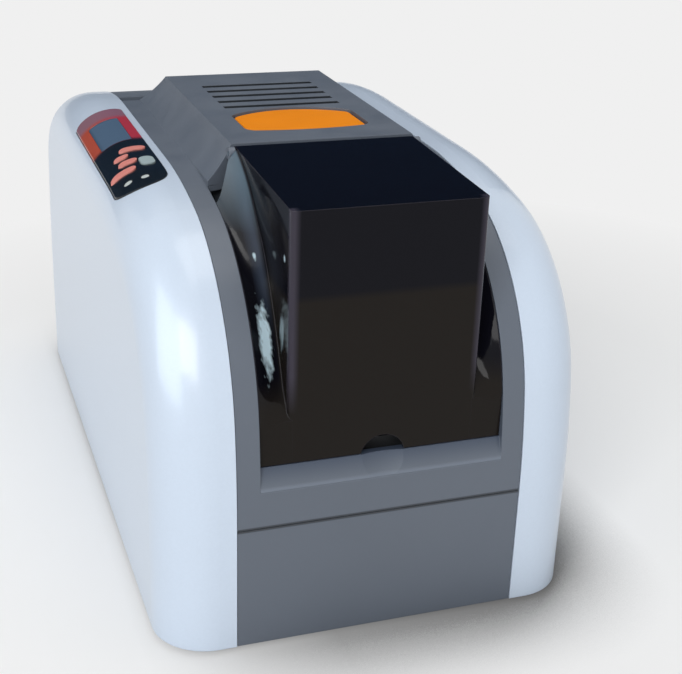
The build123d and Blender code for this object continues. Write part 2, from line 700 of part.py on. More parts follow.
def make_hopper_cover():
    low = SILL_Z + GAP
    cover = cover_box(0, low) + both_sides(cover_wing(0, low))
    cover -= cover_box(COVER_WALL, low - 5) + both_sides(cover_wing(COVER_WALL, low - 5))
    deep = from_side(front_outline(LIP_DEPTH, low - 5), WING_REACH - COVER_WALL - 1, HALF_WIDTH)
    cover -= both_sides(deep)
    notch = bar_d(0, low + NOTCH_RISE - NOTCH_WIDTH / 2, NOTCH_WIDTH / 2, 0, 2 * BOX_FACE)
    cover -= notch + block(-NOTCH_WIDTH / 2, NOTCH_WIDTH / 2, 0, 2 * BOX_FACE, 0, low - 1)
    out = HALF_BOX + 2 * GAP + EAR_WIDTH
    room = cover_ear(GAP, out) + block(HALF_BOX, out, COVER_AXIS_D - COVER_PIVOT_R, HOOD_FRONT,
                                       COVER_AXIS_Z, HOOD_TOP)
    cover -= both_sides(room)
    pin = bar_x(COVER_AXIS_D, COVER_AXIS_Z, COVER_PIN_R, HALF_BOX - 1, out - GAP)
    save("hopper_cover", cover + both_sides(pin))


# ---- release button and latch ----

def make_button():
    low = BUTTON_TOP - BUTTON_THICK
    cap = from_above(button_outline(0), low, BUTTON_TOP)
    cap = fillet(cap.edges().group_by(Axis.Z)[-1], BUTTON_EDGE)
    for x in (-STEM_X, STEM_X):
        cap += bar_z(x, STEM_D, STEM_R, LATCH_Z + LEVER_THICK / 2 + STEM_GAP, low + 1)
    save("release_button", cap)


def make_latch():
    """Cross rod with two levers under the button's stems and a hook at each end."""
    inner, outer = HOOK_X, HOOK_X + HOOK_THICK
    bar = bar_x(LATCH_D, LATCH_Z, LATCH_ROD_R, -outer, outer)
    half = LEVER_THICK / 2
    for x in (-STEM_X, STEM_X):
        bar += block(x - 4, x + 4, LATCH_D, STEM_D + STEM_R + 1, LATCH_Z - half, LATCH_Z + half)
    nose_top = STRIKER_Z - STRIKER_R - GAP
    nose_low = nose_top - HOOK_THICK
    tip = STRIKER_D - STRIKER_R - GAP
    arm = polygon((LATCH_D - 3, LATCH_Z), (LATCH_D - 3, nose_low), (tip, nose_low),
                  (tip, nose_top), (LATCH_D + 3, nose_top + 2), (LATCH_D + 3, LATCH_Z))
    hook = from_side(arm, inner, outer) + bar_x(LATCH_D, LATCH_Z, LATCH_ROD_R + 1.5, inner, outer)
    save("latch_bar", bar + both_sides(hook))
    pin = bar_x(STRIKER_D, STRIKER_Z, STRIKER_R, HOOK_X - 1, PLATE_X)
    save("latch_strikers", both_sides(pin))


# ---- base, lower front panel, rear panel ----

def make_base():
    rear = DEPTH - TRAY_REAR_INSET
    half = HALF_WIDTH - TRAY_INSET
    middle = Pos(0, (TRAY_INSET + rear) / 2)
    corner = EDGE_RADIUS - TRAY_INSET
    plan = middle * RectangleRounded(2 * half, rear - TRAY_INSET, corner)
    inner = middle * RectangleRounded(2 * half - 4, rear - TRAY_INSET - 4, corner - 2)
    tray = from_above(plan, FOOT_HEIGHT, RIM_TOP) - from_above(inner, BASE_TOP, RIM_TOP + 1)
    front_gap = block(-HALF_CENTRE, HALF_CENTRE, 0, TRAY_INSET + 2, BASE_TOP, RIM_TOP + 1)
    save("base_tray", tray - front_gap)
    feet = []
    for x in (-FOOT_X, FOOT_X):
        for d in (FOOT_D, DEPTH - FOOT_D):
            feet.append(Pos(x, d, FOOT_HEIGHT / 2) * Cone(FOOT_R - 1, FOOT_R, FOOT_HEIGHT))
    save("rubber_feet", *feet)


def make_lower_panel():
    top = PARTING_Z - SEAM
    face, back = FLUSH_DROP, FLUSH_DROP + WALL
    depth = FLUSH_DROP + LIP_DEPTH
    panel = block(-CENTRE_X, CENTRE_X, face, back, FOOT_GAP, top)
    panel += block(-CENTRE_X, CENTRE_X, back, depth, top - WALL, top)
    for side in (-1, 1):
        edge, inner = side * CENTRE_X, side * (CENTRE_X - WALL)
        panel += block(min(edge, inner), max(edge, inner), back, depth, RIM_TOP + GAP, top)
    for z in (RIM_TOP + 12, top - 14):
        panel += block(-PEDESTAL_X, PEDESTAL_X, back, PEDESTAL_FRONT, z, z + WALL)
    save("lower_front_panel", panel)


def rear_face(z):
    """Depth of the centre's rear face where the housing leans straight."""
    _, _, angle = arcs_span(REAR_ARCS)
    return DEPTH - FLUSH_DROP - (z - FOOT_GAP) * tan(radians(90 - angle))


def port_cut(x, z, width, height, margin=GAP / 2):
    half_w, half_h = width / 2 + margin, height / 2 + margin
    return block(x - half_w, x + half_w, DEPTH - 30, DEPTH + 1, z - half_h, z + half_h)


def make_rear_panel():
    front = HINGE_D + GUTTER_REACH
    keep = block(-CENTRE_X, CENTRE_X, front, DEPTH, FOOT_GAP, SHELL_TOP)
    panel = from_side(outline_band(FLUSH_DROP, WALL), -CENTRE_X, CENTRE_X) & keep
    lips = from_side(outline_band(FLUSH_DROP, LIP_DEPTH), CENTRE_X - WALL, CENTRE_X)
    lips &= block(0, WIDTH, front, DEPTH, RIM_TOP + GAP, SHELL_TOP)
    panel += both_sides(lips)
    gutter = block(-CENTRE_X, CENTRE_X, front, front + WALL, GUTTER_Z, FRAME_TOP - 0.5)
    gutter += block(-CENTRE_X, CENTRE_X, LID_REAR - 4, front, GUTTER_Z, GUTTER_Z + 2)
    panel += gutter
    for row in range(REAR_VENTS):
        z = REAR_VENT_Z + row * REAR_VENT_PITCH
        panel -= block(-FAN_SIZE / 2, FAN_SIZE / 2, DEPTH - 40, DEPTH, z, z + REAR_VENT_WIDTH)
    panel -= port_cut(SOCKET_X, SOCKET_Z, SOCKET_WIDTH + 6, SOCKET_HEIGHT + 6)
    panel -= port_cut(SWITCH_X, SOCKET_Z, SWITCH_WIDTH + 3, SWITCH_HEIGHT + 3)
    panel -= port_cut(USB_X, SOCKET_Z, USB_SIZE + 3, USB_SIZE + 2)
    panel -= port_cut(NETWORK_X, SOCKET_Z, NETWORK_SIZE + 3, NETWORK_SIZE)
    for x in (-SCREW_X, SCREW_X):
        for z in SCREW_HEIGHTS:
            face = rear_face(z + SCREW_R) - SCREW_SINK
            panel -= bar_d(x, z, SCREW_R, face - WALL / 2, DEPTH)
    for side in (-1, 1):
        near = KNUCKLE_X - LID_KNUCKLE / 2 - GAP - FRAME_KNUCKLE
        for start in (near, KNUCKLE_X + LID_KNUCKLE / 2 + GAP):
            ends = sorted((side * start, side * (start + FRAME_KNUCKLE)))
            post = bar_x(HINGE_D, HINGE_Z, KNUCKLE_R, *ends)
            post += block(*ends, HINGE_D - 2, HINGE_D + 2, GUTTER_Z + 1, HINGE_Z)
            panel += post
    panel -= bar_x(HINGE_D, HINGE_Z, HINGE_PIN_R, -HALF_WIDTH, HALF_WIDTH)
    save("rear_panel", panel)
    reach = KNUCKLE_X + LID_KNUCKLE / 2 + GAP + FRAME_KNUCKLE
    start = KNUCKLE_X - LID_KNUCKLE / 2 - GAP - FRAME_KNUCKLE
    save("lid_hinge_pins", both_sides(bar_x(HINGE_D, HINGE_Z, HINGE_PIN_R, start, reach)))


# ---- side plates and what crosses between them ----

def plate_outline():
    return polygon(
        (PLATE_LEG, BASE_TOP), (PLATE_REAR, BASE_TOP), (PLATE_REAR, 110),
        (PLATE_REAR - 34, 150), (PLATE_REAR - 56, PLATE_TOP), (PLATE_FRONT, PLATE_TOP),
        (PLATE_FRONT, 126), (PLATE_LEG, 126),
    )


ROLLER_DEPTHS = (PICK_D, FEED_D, PLATEN_D, TRANSPORT_D)
PINCH_DEPTHS = (FEED_D, CLEANER_D, TRANSPORT_D)
TIE_BARS = ((150.0, 20.0), (PLATE_REAR - 52, 20.0), (PLATE_REAR - 66, 150.0))


def make_plates():
    plate = from_side(plate_outline(), PLATE_X, PLATE_OUT)
    for d in ROLLER_DEPTHS:
        plate -= bar_x(d, ROLLER_Z, BUSH_R, 0, WIDTH)
    for d in PINCH_DEPTHS:
        plate -= bar_x(d, PINCH_Z, PINCH_SHAFT_R + RUN, 0, WIDTH)
    left = mirror(plate, about=Plane.YZ)
    plate -= bar_x(MOTOR_D, MOTOR_Z, MOTOR_BOSS_R, 0, WIDTH)
    save("right_side_plate", plate)
    save("left_side_plate", left)
    ties = [bar_x(d, z, TIE_R, -PLATE_X, PLATE_X) for d, z in TIE_BARS]
    save("cross_rods", *ties, bar_x(HEAD_PIVOT_D, HEAD_PIVOT_Z, HEAD_PIVOT_R, -PLATE_X, PLATE_X))
    bushes = []
    for d in ROLLER_DEPTHS:
        bush = bar_x(d, ROLLER_Z, BUSH_R, PLATE_X - 1.5, PLATE_OUT)
        bush += bar_x(d, ROLLER_Z, BUSH_FLANGE_R, PLATE_X - 1.5, PLATE_X)
        bush -= bar_x(d, ROLLER_Z, SHAFT_R + RUN, 0, WIDTH)
        bushes += [bush, mirror(bush, about=Plane.YZ)]
    save("roller_bushings", *bushes)
    bulkhead = block(-PLATE_X, PLATE_X, PLATE_REAR - PLATE_THICK, PLATE_REAR,
                     BASE_TOP + BULKHEAD_LOW, FAN_Z + FAN_SIZE / 2 + BULKHEAD_TOP)
    save("rear_bulkhead", bulkhead - bar_d(0, FAN_Z, FAN_SIZE / 2 - 2, 0, DEPTH))


# ---- hopper bin and output tray ----

def make_bin():
    wall = BIN_WALL
    floor = CARD_PLANE
    outer = block(-BIN_HALF - wall, BIN_HALF + wall, BIN_FRONT - wall, BIN_REAR,
                  floor - wall, BIN_TOP)
    bin_ = outer - block(-BIN_HALF, BIN_HALF, BIN_FRONT, BIN_REAR, floor, BIN_TOP + 1)
    bin_ += block(-PLATE_X + GAP, PLATE_X - GAP, BIN_REAR, PLATE_FRONT - GAP / 3,
                  TRAY_WALL_TOP, BIN_TOP - 12)
    bin_ -= block(-BIN_HALF, BIN_HALF, BIN_REAR - 1, PLATE_FRONT + 1, floor, floor + GATE_HEIGHT)
    bin_ -= block(-BIN_HALF + 8, BIN_HALF - 8, 0, BIN_FRONT + 1, floor + 14, BIN_TOP + 1)
    bin_ -= block(-PICK_SLOT / 2, PICK_SLOT / 2, PICK_D - ROLLER_R - 1, PICK_D + ROLLER_R + 1,
                  floor - wall - 1, floor + 0.5)
    save("hopper_bin", bin_)
    weight = block(-BIN_HALF + 1, BIN_HALF - 1, BIN_FRONT + 2, BIN_REAR - 2,
                   floor + GAP, floor + GAP + 4)
    grip = block(-3, 3, BIN_FRONT + 30, BIN_FRONT + 56, floor + GAP + 3, floor + GAP + 18)
    grip = fillet(grip.edges().filter_by(Axis.X), 3)
    save("card_weight", weight + grip)


def make_output_tray():
    x, wall = PEDESTAL_X, BIN_WALL
    front, rear = PEDESTAL_FRONT, BIN_REAR - 1
    body = block(-x, x, front, rear, BASE_TOP, TRAY_FLOOR)
    body -= block(-x + wall, x - wall, front + wall, rear - wall, BASE_TOP - 1, TRAY_FLOOR - wall)
    edge = BIN_HALF + wall
    body += block(-edge, edge, front, rear, TRAY_FLOOR - wall, TRAY_WALL_TOP)
    body -= block(-BIN_HALF, BIN_HALF, front - 1, rear + 1, TRAY_FLOOR, TRAY_WALL_TOP + 1)
    save("output_tray", body)


# ---- rollers, pulleys and belts ----

def lower_roller(name, d, half_length):
    roller = bar_x(d, ROLLER_Z, ROLLER_R, -half_length, half_length)
    save(name, roller - bar_x(d, ROLLER_Z, SHAFT_R, -WIDTH, WIDTH))


def lower_shaft(name, d, extra=None):
    shaft = bar_x(d, ROLLER_Z, SHAFT_R, -PLATE_OUT - 1.5, BELT_X + PULLEY_WIDTH)
    shaft += pulley(d, ROLLER_Z, PULLEY_R, BELT_X)
    if extra:
        shaft += extra
    save(name, shaft)


def pulley(d, z, radius, x):
    wheel = bar_x(d, z, radius, x, x + PULLEY_WIDTH)
    for edge in (x, x + PULLEY_WIDTH - 0.6):
        wheel += bar_x(d, z, radius + BELT_THICK, edge, edge + 0.6)
    return wheel


def pinch_roller(name, d):
    roller = bar_x(d, PINCH_Z, PINCH_R, -ROLLER_LENGTH / 2, ROLLER_LENGTH / 2)
    roller += bar_x(d, PINCH_Z, PINCH_SHAFT_R, -PLATE_OUT - 1, PLATE_OUT + 1)
    save(name, roller)


def loop_outline(near, far, near_r, far_r):
    """Outline of a belt round two wheels, from the two outer tangents."""
    near_disc, far_disc = Pos(*near) * Circle(near_r), Pos(*far) * Circle(far_r)
    return make_hull([*near_disc.edges(), *far_disc.edges()])


def belt(near, far, near_r, far_r, x):
    outer = loop_outline(near, far, near_r + GAP + BELT_THICK, far_r + GAP + BELT_THICK)
    inner = loop_outline(near, far, near_r + GAP, far_r + GAP)
    return from_side(outer - inner, x + 1, x + PULLEY_WIDTH - 1)


def make_transport():
    half = ROLLER_LENGTH / 2
    lower_roller("pick_roller", PICK_D, PICK_SLOT / 2 - 1)
    lower_roller("feed_roller", FEED_D, half)
    lower_roller("platen_roller", PLATEN_D, half)
    lower_roller("transport_roller", TRANSPORT_D, half)
    driven = bar_x(PLATEN_D, ROLLER_Z, SHAFT_R, BELT_X, MOTOR_BELT_X + PULLEY_WIDTH)
    driven += pulley(PLATEN_D, ROLLER_Z, DRIVEN_PULLEY_R, MOTOR_BELT_X)
    lower_shaft("pick_shaft", PICK_D)
    lower_shaft("feed_shaft", FEED_D)
    lower_shaft("platen_shaft", PLATEN_D, driven)
    lower_shaft("transport_shaft", TRANSPORT_D)
    pinch_roller("front_pinch_roller", FEED_D)
    pinch_roller("cleaning_roller", CLEANER_D)
    pinch_roller("rear_pinch_roller", TRANSPORT_D)
    long_belt = belt((PICK_D, ROLLER_Z), (TRANSPORT_D, ROLLER_Z), PULLEY_R, PULLEY_R, BELT_X)
    short_belt = belt((MOTOR_D, MOTOR_Z), (PLATEN_D, ROLLER_Z), MOTOR_PULLEY_R,
                      DRIVEN_PULLEY_R, MOTOR_BELT_X)
    save("drive_belts", long_belt, short_belt)
    half_motor = MOTOR_SIZE / 2
    motor = block(PLATE_X - MOTOR_LENGTH, PLATE_X, MOTOR_D - half_motor, MOTOR_D + half_motor,
                  MOTOR_Z - half_motor, MOTOR_Z + half_motor)
    motor = chamfer(motor.edges().filter_by(Axis.X), 4)
    motor += bar_x(MOTOR_D, MOTOR_Z, MOTOR_BOSS_R, PLATE_X - 1, PLATE_OUT)
    motor -= bar_x(MOTOR_D, MOTOR_Z, MOTOR_SHAFT_R + RUN, PLATE_X - 6, WIDTH)
    save("main_motor", motor)
    wheel = bar_x(MOTOR_D, MOTOR_Z, MOTOR_SHAFT_R, PLATE_X - 5, MOTOR_BELT_X + PULLEY_WIDTH)
    save("motor_pulley", wheel + pulley(MOTOR_D, MOTOR_Z, MOTOR_PULLEY_R, MOTOR_BELT_X))


# ---- ribbon cassette and print head ----

def spool(d):
    reach = CASSETTE_X + 2
    core = bar_x(d, SPOOL_Z, SPOOL_CORE_R, -FILM_WIDTH / 2 - 1.2, FILM_WIDTH / 2 + 1.2)
    core += bar_x(d, SPOOL_Z, SPOOL_PIN_R, -reach, reach)
    for side in (-1, 1):
        ends = sorted((side * FILM_WIDTH / 2, side * (FILM_WIDTH / 2 + 1.2)))
        core += bar_x(d, SPOOL_Z, FLANGE_R, *ends)
    return core


def film_roll(d, radius):
    roll = bar_x(d, SPOOL_Z, radius, -FILM_WIDTH / 2 + 1, FILM_WIDTH / 2 - 1)
    return roll - bar_x(d, SPOOL_Z, SPOOL_CORE_R, -WIDTH, WIDTH)


def tangent_point(d, radius, point, side):
    """Where the film leaves a roll for a point beside and below it."""
    along, up = point[0] - d, point[1] - SPOOL_Z
    angle = atan2(up, along) + side * acos(radius / hypot(along, up))
    return d + radius * cos(angle), SPOOL_Z + radius * sin(angle)


def make_ribbon():
    save("supply_spool", spool(SUPPLY_D))
    save("takeup_spool", spool(TAKEUP_D))
    save("supply_film", film_roll(SUPPLY_D, SUPPLY_FILM_R))
    save("takeup_film", film_roll(TAKEUP_D, TAKEUP_FILM_R))
    film_z = CARD_PLANE + FILM_LIFT
    bend = [(PLATEN_D - 12, film_z + 1.5), (PLATEN_D - 7, film_z),
            (PLATEN_D + 7, film_z), (PLATEN_D + 12, film_z + 1.5)]
    outer, inner = GAP + FILM_THICK, GAP
    low = [tangent_point(TAKEUP_D, TAKEUP_FILM_R + outer, bend[0], -1), *bend,
           tangent_point(SUPPLY_D, SUPPLY_FILM_R + outer, bend[-1], 1)]
    high = [tangent_point(TAKEUP_D, TAKEUP_FILM_R + inner, bend[0], -1),
            *[(d, z + FILM_THICK) for d, z in bend],
            tangent_point(SUPPLY_D, SUPPLY_FILM_R + inner, bend[-1], 1)]
    half = FILM_WIDTH / 2 - 1
    save("ribbon_film", from_side(polygon(*low, *reversed(high)), -half, half))
    side = from_side(Pos(SUPPLY_D, SPOOL_Z) * Circle(CASSETTE_BOSS_R), CASSETTE_X, CASSETTE_X + 2)
    side += bar_x(TAKEUP_D, SPOOL_Z, CASSETTE_BOSS_R, CASSETTE_X, CASSETTE_X + 2)
    bars = (TAKEUP_D - CASSETTE_BAR_REACH, SUPPLY_D + CASSETTE_BAR_REACH)
    side += block(CASSETTE_X, CASSETTE_X + 2, *bars, SPOOL_Z - 4, SPOOL_Z + 4)
    for d in (SUPPLY_D, TAKEUP_D):
        side -= bar_x(d, SPOOL_Z, SPOOL_PIN_R + RUN, 0, WIDTH)
    frame = both_sides(side)
    for d in bars:
        frame += bar_x(d, SPOOL_Z, 3.0, -PLATE_X + GAP, PLATE_X - GAP)
    save("ribbon_cassette", frame)


def make_head():
    z_plate = HEAD_PIVOT_Z + 3
    plate = block(-ARM_X - 3, ARM_X + 3, PLATEN_D - 12, PLATEN_D + 14, z_plate, z_plate + 3)
    arm = polygon((HEAD_PIVOT_D, HEAD_PIVOT_Z - 5), (HEAD_PIVOT_D, HEAD_PIVOT_Z + 5),
                  (PLATEN_D - 12, z_plate + 3), (PLATEN_D - 12, z_plate - 3))
    arms = from_side(arm, ARM_X, ARM_X + 3)
    arms += bar_x(HEAD_PIVOT_D, HEAD_PIVOT_Z, HEAD_PIVOT_R + 3, ARM_X, ARM_X + 3)
    arms -= bar_x(HEAD_PIVOT_D, HEAD_PIVOT_Z, HEAD_PIVOT_R + RUN, 0, WIDTH)
    save("head_arm", plate + both_sides(arms))
    tip = CARD_PLANE + HEAD_GAP
    half = FILM_WIDTH / 2 - 2
    sink = block(-half, half, PLATEN_D - 9, PLATEN_D + 9, tip + 8, z_plate)
    for fin in range(4):
        d = PLATEN_D - 6.5 + fin * 4
        sink -= block(-half - 1, half + 1, d, d + 2, tip + 14, z_plate - 4)
    save("head_heat_sink", sink)
    nose = polygon((PLATEN_D - 9, tip + 8), (PLATEN_D - 9, tip + 5), (PLATEN_D - 3, tip),
                   (PLATEN_D + 3, tip), (PLATEN_D + 9, tip + 5), (PLATEN_D + 9, tip + 8))
    save("print_head", from_side(nose, -half, half))


# ---- electrics ----

def make_fan():
    front = PLATE_REAR - PLATE_THICK - FAN_THICK
    back = PLATE_REAR - PLATE_THICK
    half, bore = FAN_SIZE / 2, FAN_SIZE / 2 - 2
    frame = block(-half, half, front, back, FAN_Z - half, FAN_Z + half)
    frame = fillet(frame.edges().filter_by(Axis.Y), 3)
    frame -= bar_d(0, FAN_Z, bore, front - 1, back + 1)
    spider = block(-bore - 1, bore + 1, back - 1.5, back, FAN_Z - 1.5, FAN_Z + 1.5)
    spider += block(-1.5, 1.5, back - 1.5, back, FAN_Z - bore - 1, FAN_Z + bore + 1)
    frame += spider + bar_d(0, FAN_Z, HUB_R, back - 1.5, back)
    frame += bar_d(0, FAN_Z, FAN_PIN_R, front + 1, back)
    save("fan_frame", frame)
    low, high = front + 0.5, back - 2.2
    rotor = bar_d(0, FAN_Z, HUB_R, low, high)
    for turn in range(FAN_BLADES):
        blade = block(-0.7, 0.7, low, high - 0.5, HUB_R - 1, bore - 1)
        blade = Rot(0, 0, BLADE_TWIST) * Pos(0, -(low + high) / 2, 0) * blade
        blade = Pos(0, (low + high) / 2, 0) * blade
        rotor += Pos(0, 0, FAN_Z) * Rot(0, turn * 360 / FAN_BLADES, 0) * blade
    rotor &= bar_d(0, FAN_Z, bore - 1, low, high)
    save("fan_impeller", rotor - bar_d(0, FAN_Z, FAN_PIN_R + RUN, 0, DEPTH))


def make_ports():
    face = rear_face(SOCKET_Z) - GAP
    half_w, half_h = SOCKET_WIDTH / 2, SOCKET_HEIGHT / 2
    x, z = SOCKET_X, SOCKET_Z
    inlet = block(x - half_w - 3, x + half_w + 3, face - 18, face, z - half_h - 3, z + half_h + 3)
    inlet -= block(x - half_w, x + half_w, face - 15, face + 1, z - half_h, z + half_h)
    blades = [block(x + dx - 1, x + dx + 1, face - 15, face - 5, z + dz - 2, z + dz + 2)
              for dx, dz in ((-7, -2), (0, 2), (7, -2))]
    save("power_inlet", inlet, *blades)
    ports = []
    for px, size, extra in ((USB_X, USB_SIZE, 2), (NETWORK_X, NETWORK_SIZE, 0)):
        wide, tall = size / 2 + 1.5, size / 2 + extra / 2
        port = block(px - wide, px + wide, face - PORT_DEPTH, face, z - tall, z + tall)
        port -= block(px - size / 2, px + size / 2, face - PORT_DEPTH + 2, face + 1,
                      z - tall + 1.5, z + tall - 1.5)
        ports.append(port)
    save("data_ports", *ports)
    make_switch(face)


def make_screws():
    """Heads of the screws that hold the rear panel and the base tray."""
    heads = []
    for x in (-SCREW_X, SCREW_X):
        for z in SCREW_HEIGHTS:
            face = rear_face(z + SCREW_R) - SCREW_SINK
            heads.append(bar_d(x, z, SCREW_R, face - WALL / 2, face))
    save("case_screws", *heads)


def make_switch(face):
    x, z = SWITCH_X, SOCKET_Z
    half_w, half_h = SWITCH_WIDTH / 2, SWITCH_HEIGHT / 2
    frame = block(x - half_w - 1.5, x + half_w + 1.5, face - 14, face, z - half_h - 1.5,
                  z + half_h + 1.5)
    frame -= block(x - half_w, x + half_w, face - 12, face + 1, z - half_h, z + half_h)
    pivot = face - 5
    frame += bar_x(pivot, z, SWITCH_PIN_R, x - half_w - 1, x + half_w + 1)
    save("switch_frame", frame)
    tilt = SWITCH_THROW / 2
    wing = half_h - 1.2
    rocker = polygon((pivot - 3, z - 3), (pivot + 2.4, z - wing), (pivot + 3.6, z - wing),
                     (pivot + 2.2, z), (pivot + 3.6, z + wing), (pivot + 2.4, z + wing),
                     (pivot - 3, z + 3))
    rocker = from_side(rocker, x - half_w + GAP, x + half_w - GAP)
    rocker -= bar_x(pivot, z, SWITCH_PIN_R + RUN, x - half_w, x + half_w)
    save("power_switch", rocker.rotate(Axis((0, pivot, z), (1, 0, 0)), -tilt))


def make_electronics():
    top = BASE_TOP + SUPPLY_HEIGHT
    supply = block(SUPPLY_X, HALF_WIDTH - SUPPLY_SIDE, *SUPPLY_SPAN, BASE_TOP, top)
    supply = fillet(supply.edges().filter_by(Axis.X), 2)
    low, high = (top - end for end in SUPPLY_SLOTS)
    for slot in range(8):
        d = SUPPLY_SPAN[0] + 20 + slot * 8
        supply -= block(SUPPLY_X - 1, SUPPLY_X + 2, d, d + 3, low, high)
    save("power_supply", supply)
    face = -BOARD_X - BOARD_THICK
    board = block(face, -BOARD_X, *BOARD_SPAN, BASE_TOP, BASE_TOP + BOARD_HEIGHT)
    chips = [block(face - thick, face, d, d + long, z, z + tall)
             for d, z, long, tall, thick in CHIPS]
    save("control_board", board, *chips)


make_shells()
make_panel()
make_top_cover()
make_hopper_cover()
make_button()
make_latch()
make_base()
make_lower_panel()
make_rear_panel()
make_plates()
make_bin()
make_output_tray()
make_transport()
make_ribbon()
make_head()
make_fan()
make_ports()
make_electronics()
make_screws()
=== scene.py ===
"""Dresses the card printer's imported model: a finish for every node, the fine pieces that the
solids leave out, and a plain studio seen from the photograph's angle. Lengths are in metres."""

import math

import bmesh
import bpy
from bpy.props import FloatProperty, FloatVectorProperty, PointerProperty
from mathutils import Matrix, Vector
from mathutils.bvhtree import BVHTree


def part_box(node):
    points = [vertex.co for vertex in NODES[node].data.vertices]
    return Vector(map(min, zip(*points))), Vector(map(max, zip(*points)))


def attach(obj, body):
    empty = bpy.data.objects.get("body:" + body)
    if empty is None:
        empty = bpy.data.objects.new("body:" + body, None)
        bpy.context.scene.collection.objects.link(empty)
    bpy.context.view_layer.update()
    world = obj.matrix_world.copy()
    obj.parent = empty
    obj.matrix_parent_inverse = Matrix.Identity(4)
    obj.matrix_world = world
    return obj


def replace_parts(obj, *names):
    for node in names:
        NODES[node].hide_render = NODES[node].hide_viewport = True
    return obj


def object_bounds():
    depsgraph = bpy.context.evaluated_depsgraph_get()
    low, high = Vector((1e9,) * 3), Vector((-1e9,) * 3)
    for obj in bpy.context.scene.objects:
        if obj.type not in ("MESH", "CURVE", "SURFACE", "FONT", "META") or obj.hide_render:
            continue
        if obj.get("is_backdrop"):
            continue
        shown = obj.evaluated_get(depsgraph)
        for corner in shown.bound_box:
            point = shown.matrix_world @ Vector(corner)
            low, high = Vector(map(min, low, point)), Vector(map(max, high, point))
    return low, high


bl_info = {
    "name": "Card Printer Dressing",
    "version": (1, 0, 0),
    "blender": (4, 5, 0),
    "location": "3D View > Sidebar > Printer",
    "description": "Finishes and fine pieces for a desktop card printer",
    "category": "Object",
}

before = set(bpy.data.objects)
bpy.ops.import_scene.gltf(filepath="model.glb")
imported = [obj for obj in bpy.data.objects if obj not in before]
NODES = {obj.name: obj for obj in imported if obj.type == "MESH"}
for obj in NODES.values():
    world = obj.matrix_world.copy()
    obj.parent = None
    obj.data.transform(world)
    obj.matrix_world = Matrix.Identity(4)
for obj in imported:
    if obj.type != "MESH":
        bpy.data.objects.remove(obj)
MM = 0.001
AIM = Vector((0.0, 0.0, 0.1))           # what the lamps point at
FRONT = -171.0 * MM                     # everything further forward is the front face
HOOD_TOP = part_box("top_cover")[1].z
CORNERS = ((-1, -1), (1, -1), (1, 1), (-1, 1))

# painted reflections and glints on the hopper cover's left wing: middle, half sizes (mm) and
# strength
PAINTED_REFLECTIONS = (((-49.8, -165.0, 143.0), (3.6, 30.0, 17.0), 0.95),
          ((-44.0, -171.5, 149.0), (1.0, 3.6, 9.5), 0.35),
          ((-48.6, -143.3, 173.2), (0.9, 3.0, 2.2), 0.7),
          ((-44.0, -174.0, 182.6), (0.6, 1.2, 1.8), 0.7))

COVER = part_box("hopper_cover")
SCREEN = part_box("lcd_window")
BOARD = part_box("control_board")
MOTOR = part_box("main_motor")
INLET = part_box("power_inlet")
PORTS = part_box("data_ports")


# ---- what a user may change ----

def colour_prop(name, description, default):
    return FloatVectorProperty(
        name=name, description=description, default=default, size=3, min=0.0, max=1.0,
        subtype="COLOR")


def length_prop(name, description, default, low=0.0):
    return FloatProperty(
        name=name, description=description, default=default, min=low, unit="LENGTH", precision=5)


def strength_prop(name, description, default):
    return FloatProperty(name=name, description=description, default=default, min=0.0)


def angle_prop(name, description, degrees):
    return FloatProperty(
        name=name, description=description, default=math.radians(degrees), subtype="ANGLE")


class HousingLook(bpy.types.PropertyGroup):
    """Colours and grain of the moulded housing."""
    white: colour_prop("Shell White", "Colour of the two side shells", (0.625, 0.715, 0.840))
    grey: colour_prop("Frame Grey", "Colour of the lid, lower and rear panels",
                      (0.118, 0.138, 0.172))
    smoke: colour_prop("Smoke", "Colour of the hopper cover's upper half", (0.004, 0.004, 0.007))
    smoke_low: colour_prop("Low Smoke", "Browner tone of the cover before the hopper",
                           (0.0120, 0.0095, 0.0078))
    # Smoke Edge: painted highlight, paler colour painted where a wall is seen edge on and on
    # rounded edges
    smoke_edge_highlight: colour_prop("Smoke Edge", "Paler tone where a wall is seen edge on",
                            (0.045, 0.040, 0.055))
    # Smoke Wing: painted reflection, a paler tone painted on the top of the wings
    smoke_wing_reflection: colour_prop("Smoke Wing", "Tone of the cover's wings beside the hood",
                            (0.080, 0.125, 0.165))
    # Smoke Streak: painted highlight down the middle of the wings
    smoke_streak_highlight: colour_prop("Smoke Streak", "Streak down the middle of the wings",
                              (0.030, 0.040, 0.062))
    # Smoke Glare: painted reflections and glints on the left wing
    smoke_painted_reflection: colour_prop("Smoke Glare", "Milky patches on the left wing",
                             (0.70, 0.90, 1.0))
    box_width: length_prop("Box Width", "Width of the hopper cover's box", 88.0 * MM)
    orange: colour_prop("Button Orange", "Colour of the release button", (1.0, 0.29, 0.001))
    # Sill Shade: painted shade on the sill close under the cover
    sill_painted_shade: colour_prop("Sill Shade", "Grey of the sill close under the cover",
                            (0.030, 0.046, 0.082))
    sill_height: length_prop("Sill Height", "Lower edge of the sloping sill", 81.0 * MM)
    sill_reach: length_prop("Sill Reach", "Half the width of the sill", 57.2 * MM)
    vent_middle: length_prop("Vent Middle", "Middle of the vents along the lid", 15.0 * MM)
    vent_length: length_prop("Vent Length", "Length of the lid that the vents take", 70.0 * MM)
    vent_reach: length_prop("Vent Reach", "Half the width of the vents", 37.5 * MM)
    parting_height: length_prop("Parting Height", "Seam over the lower panel", 62.65 * MM)
    grain: length_prop("Grain", "Size of the moulded texture's grain", 0.45 * MM, 0.0001)
    grain_depth: length_prop("Grain Depth", "Depth of the moulded texture", 0.012 * MM)
    edge_round: length_prop("Edge Rounding", "Visible rounding of moulded edges", 0.5 * MM)


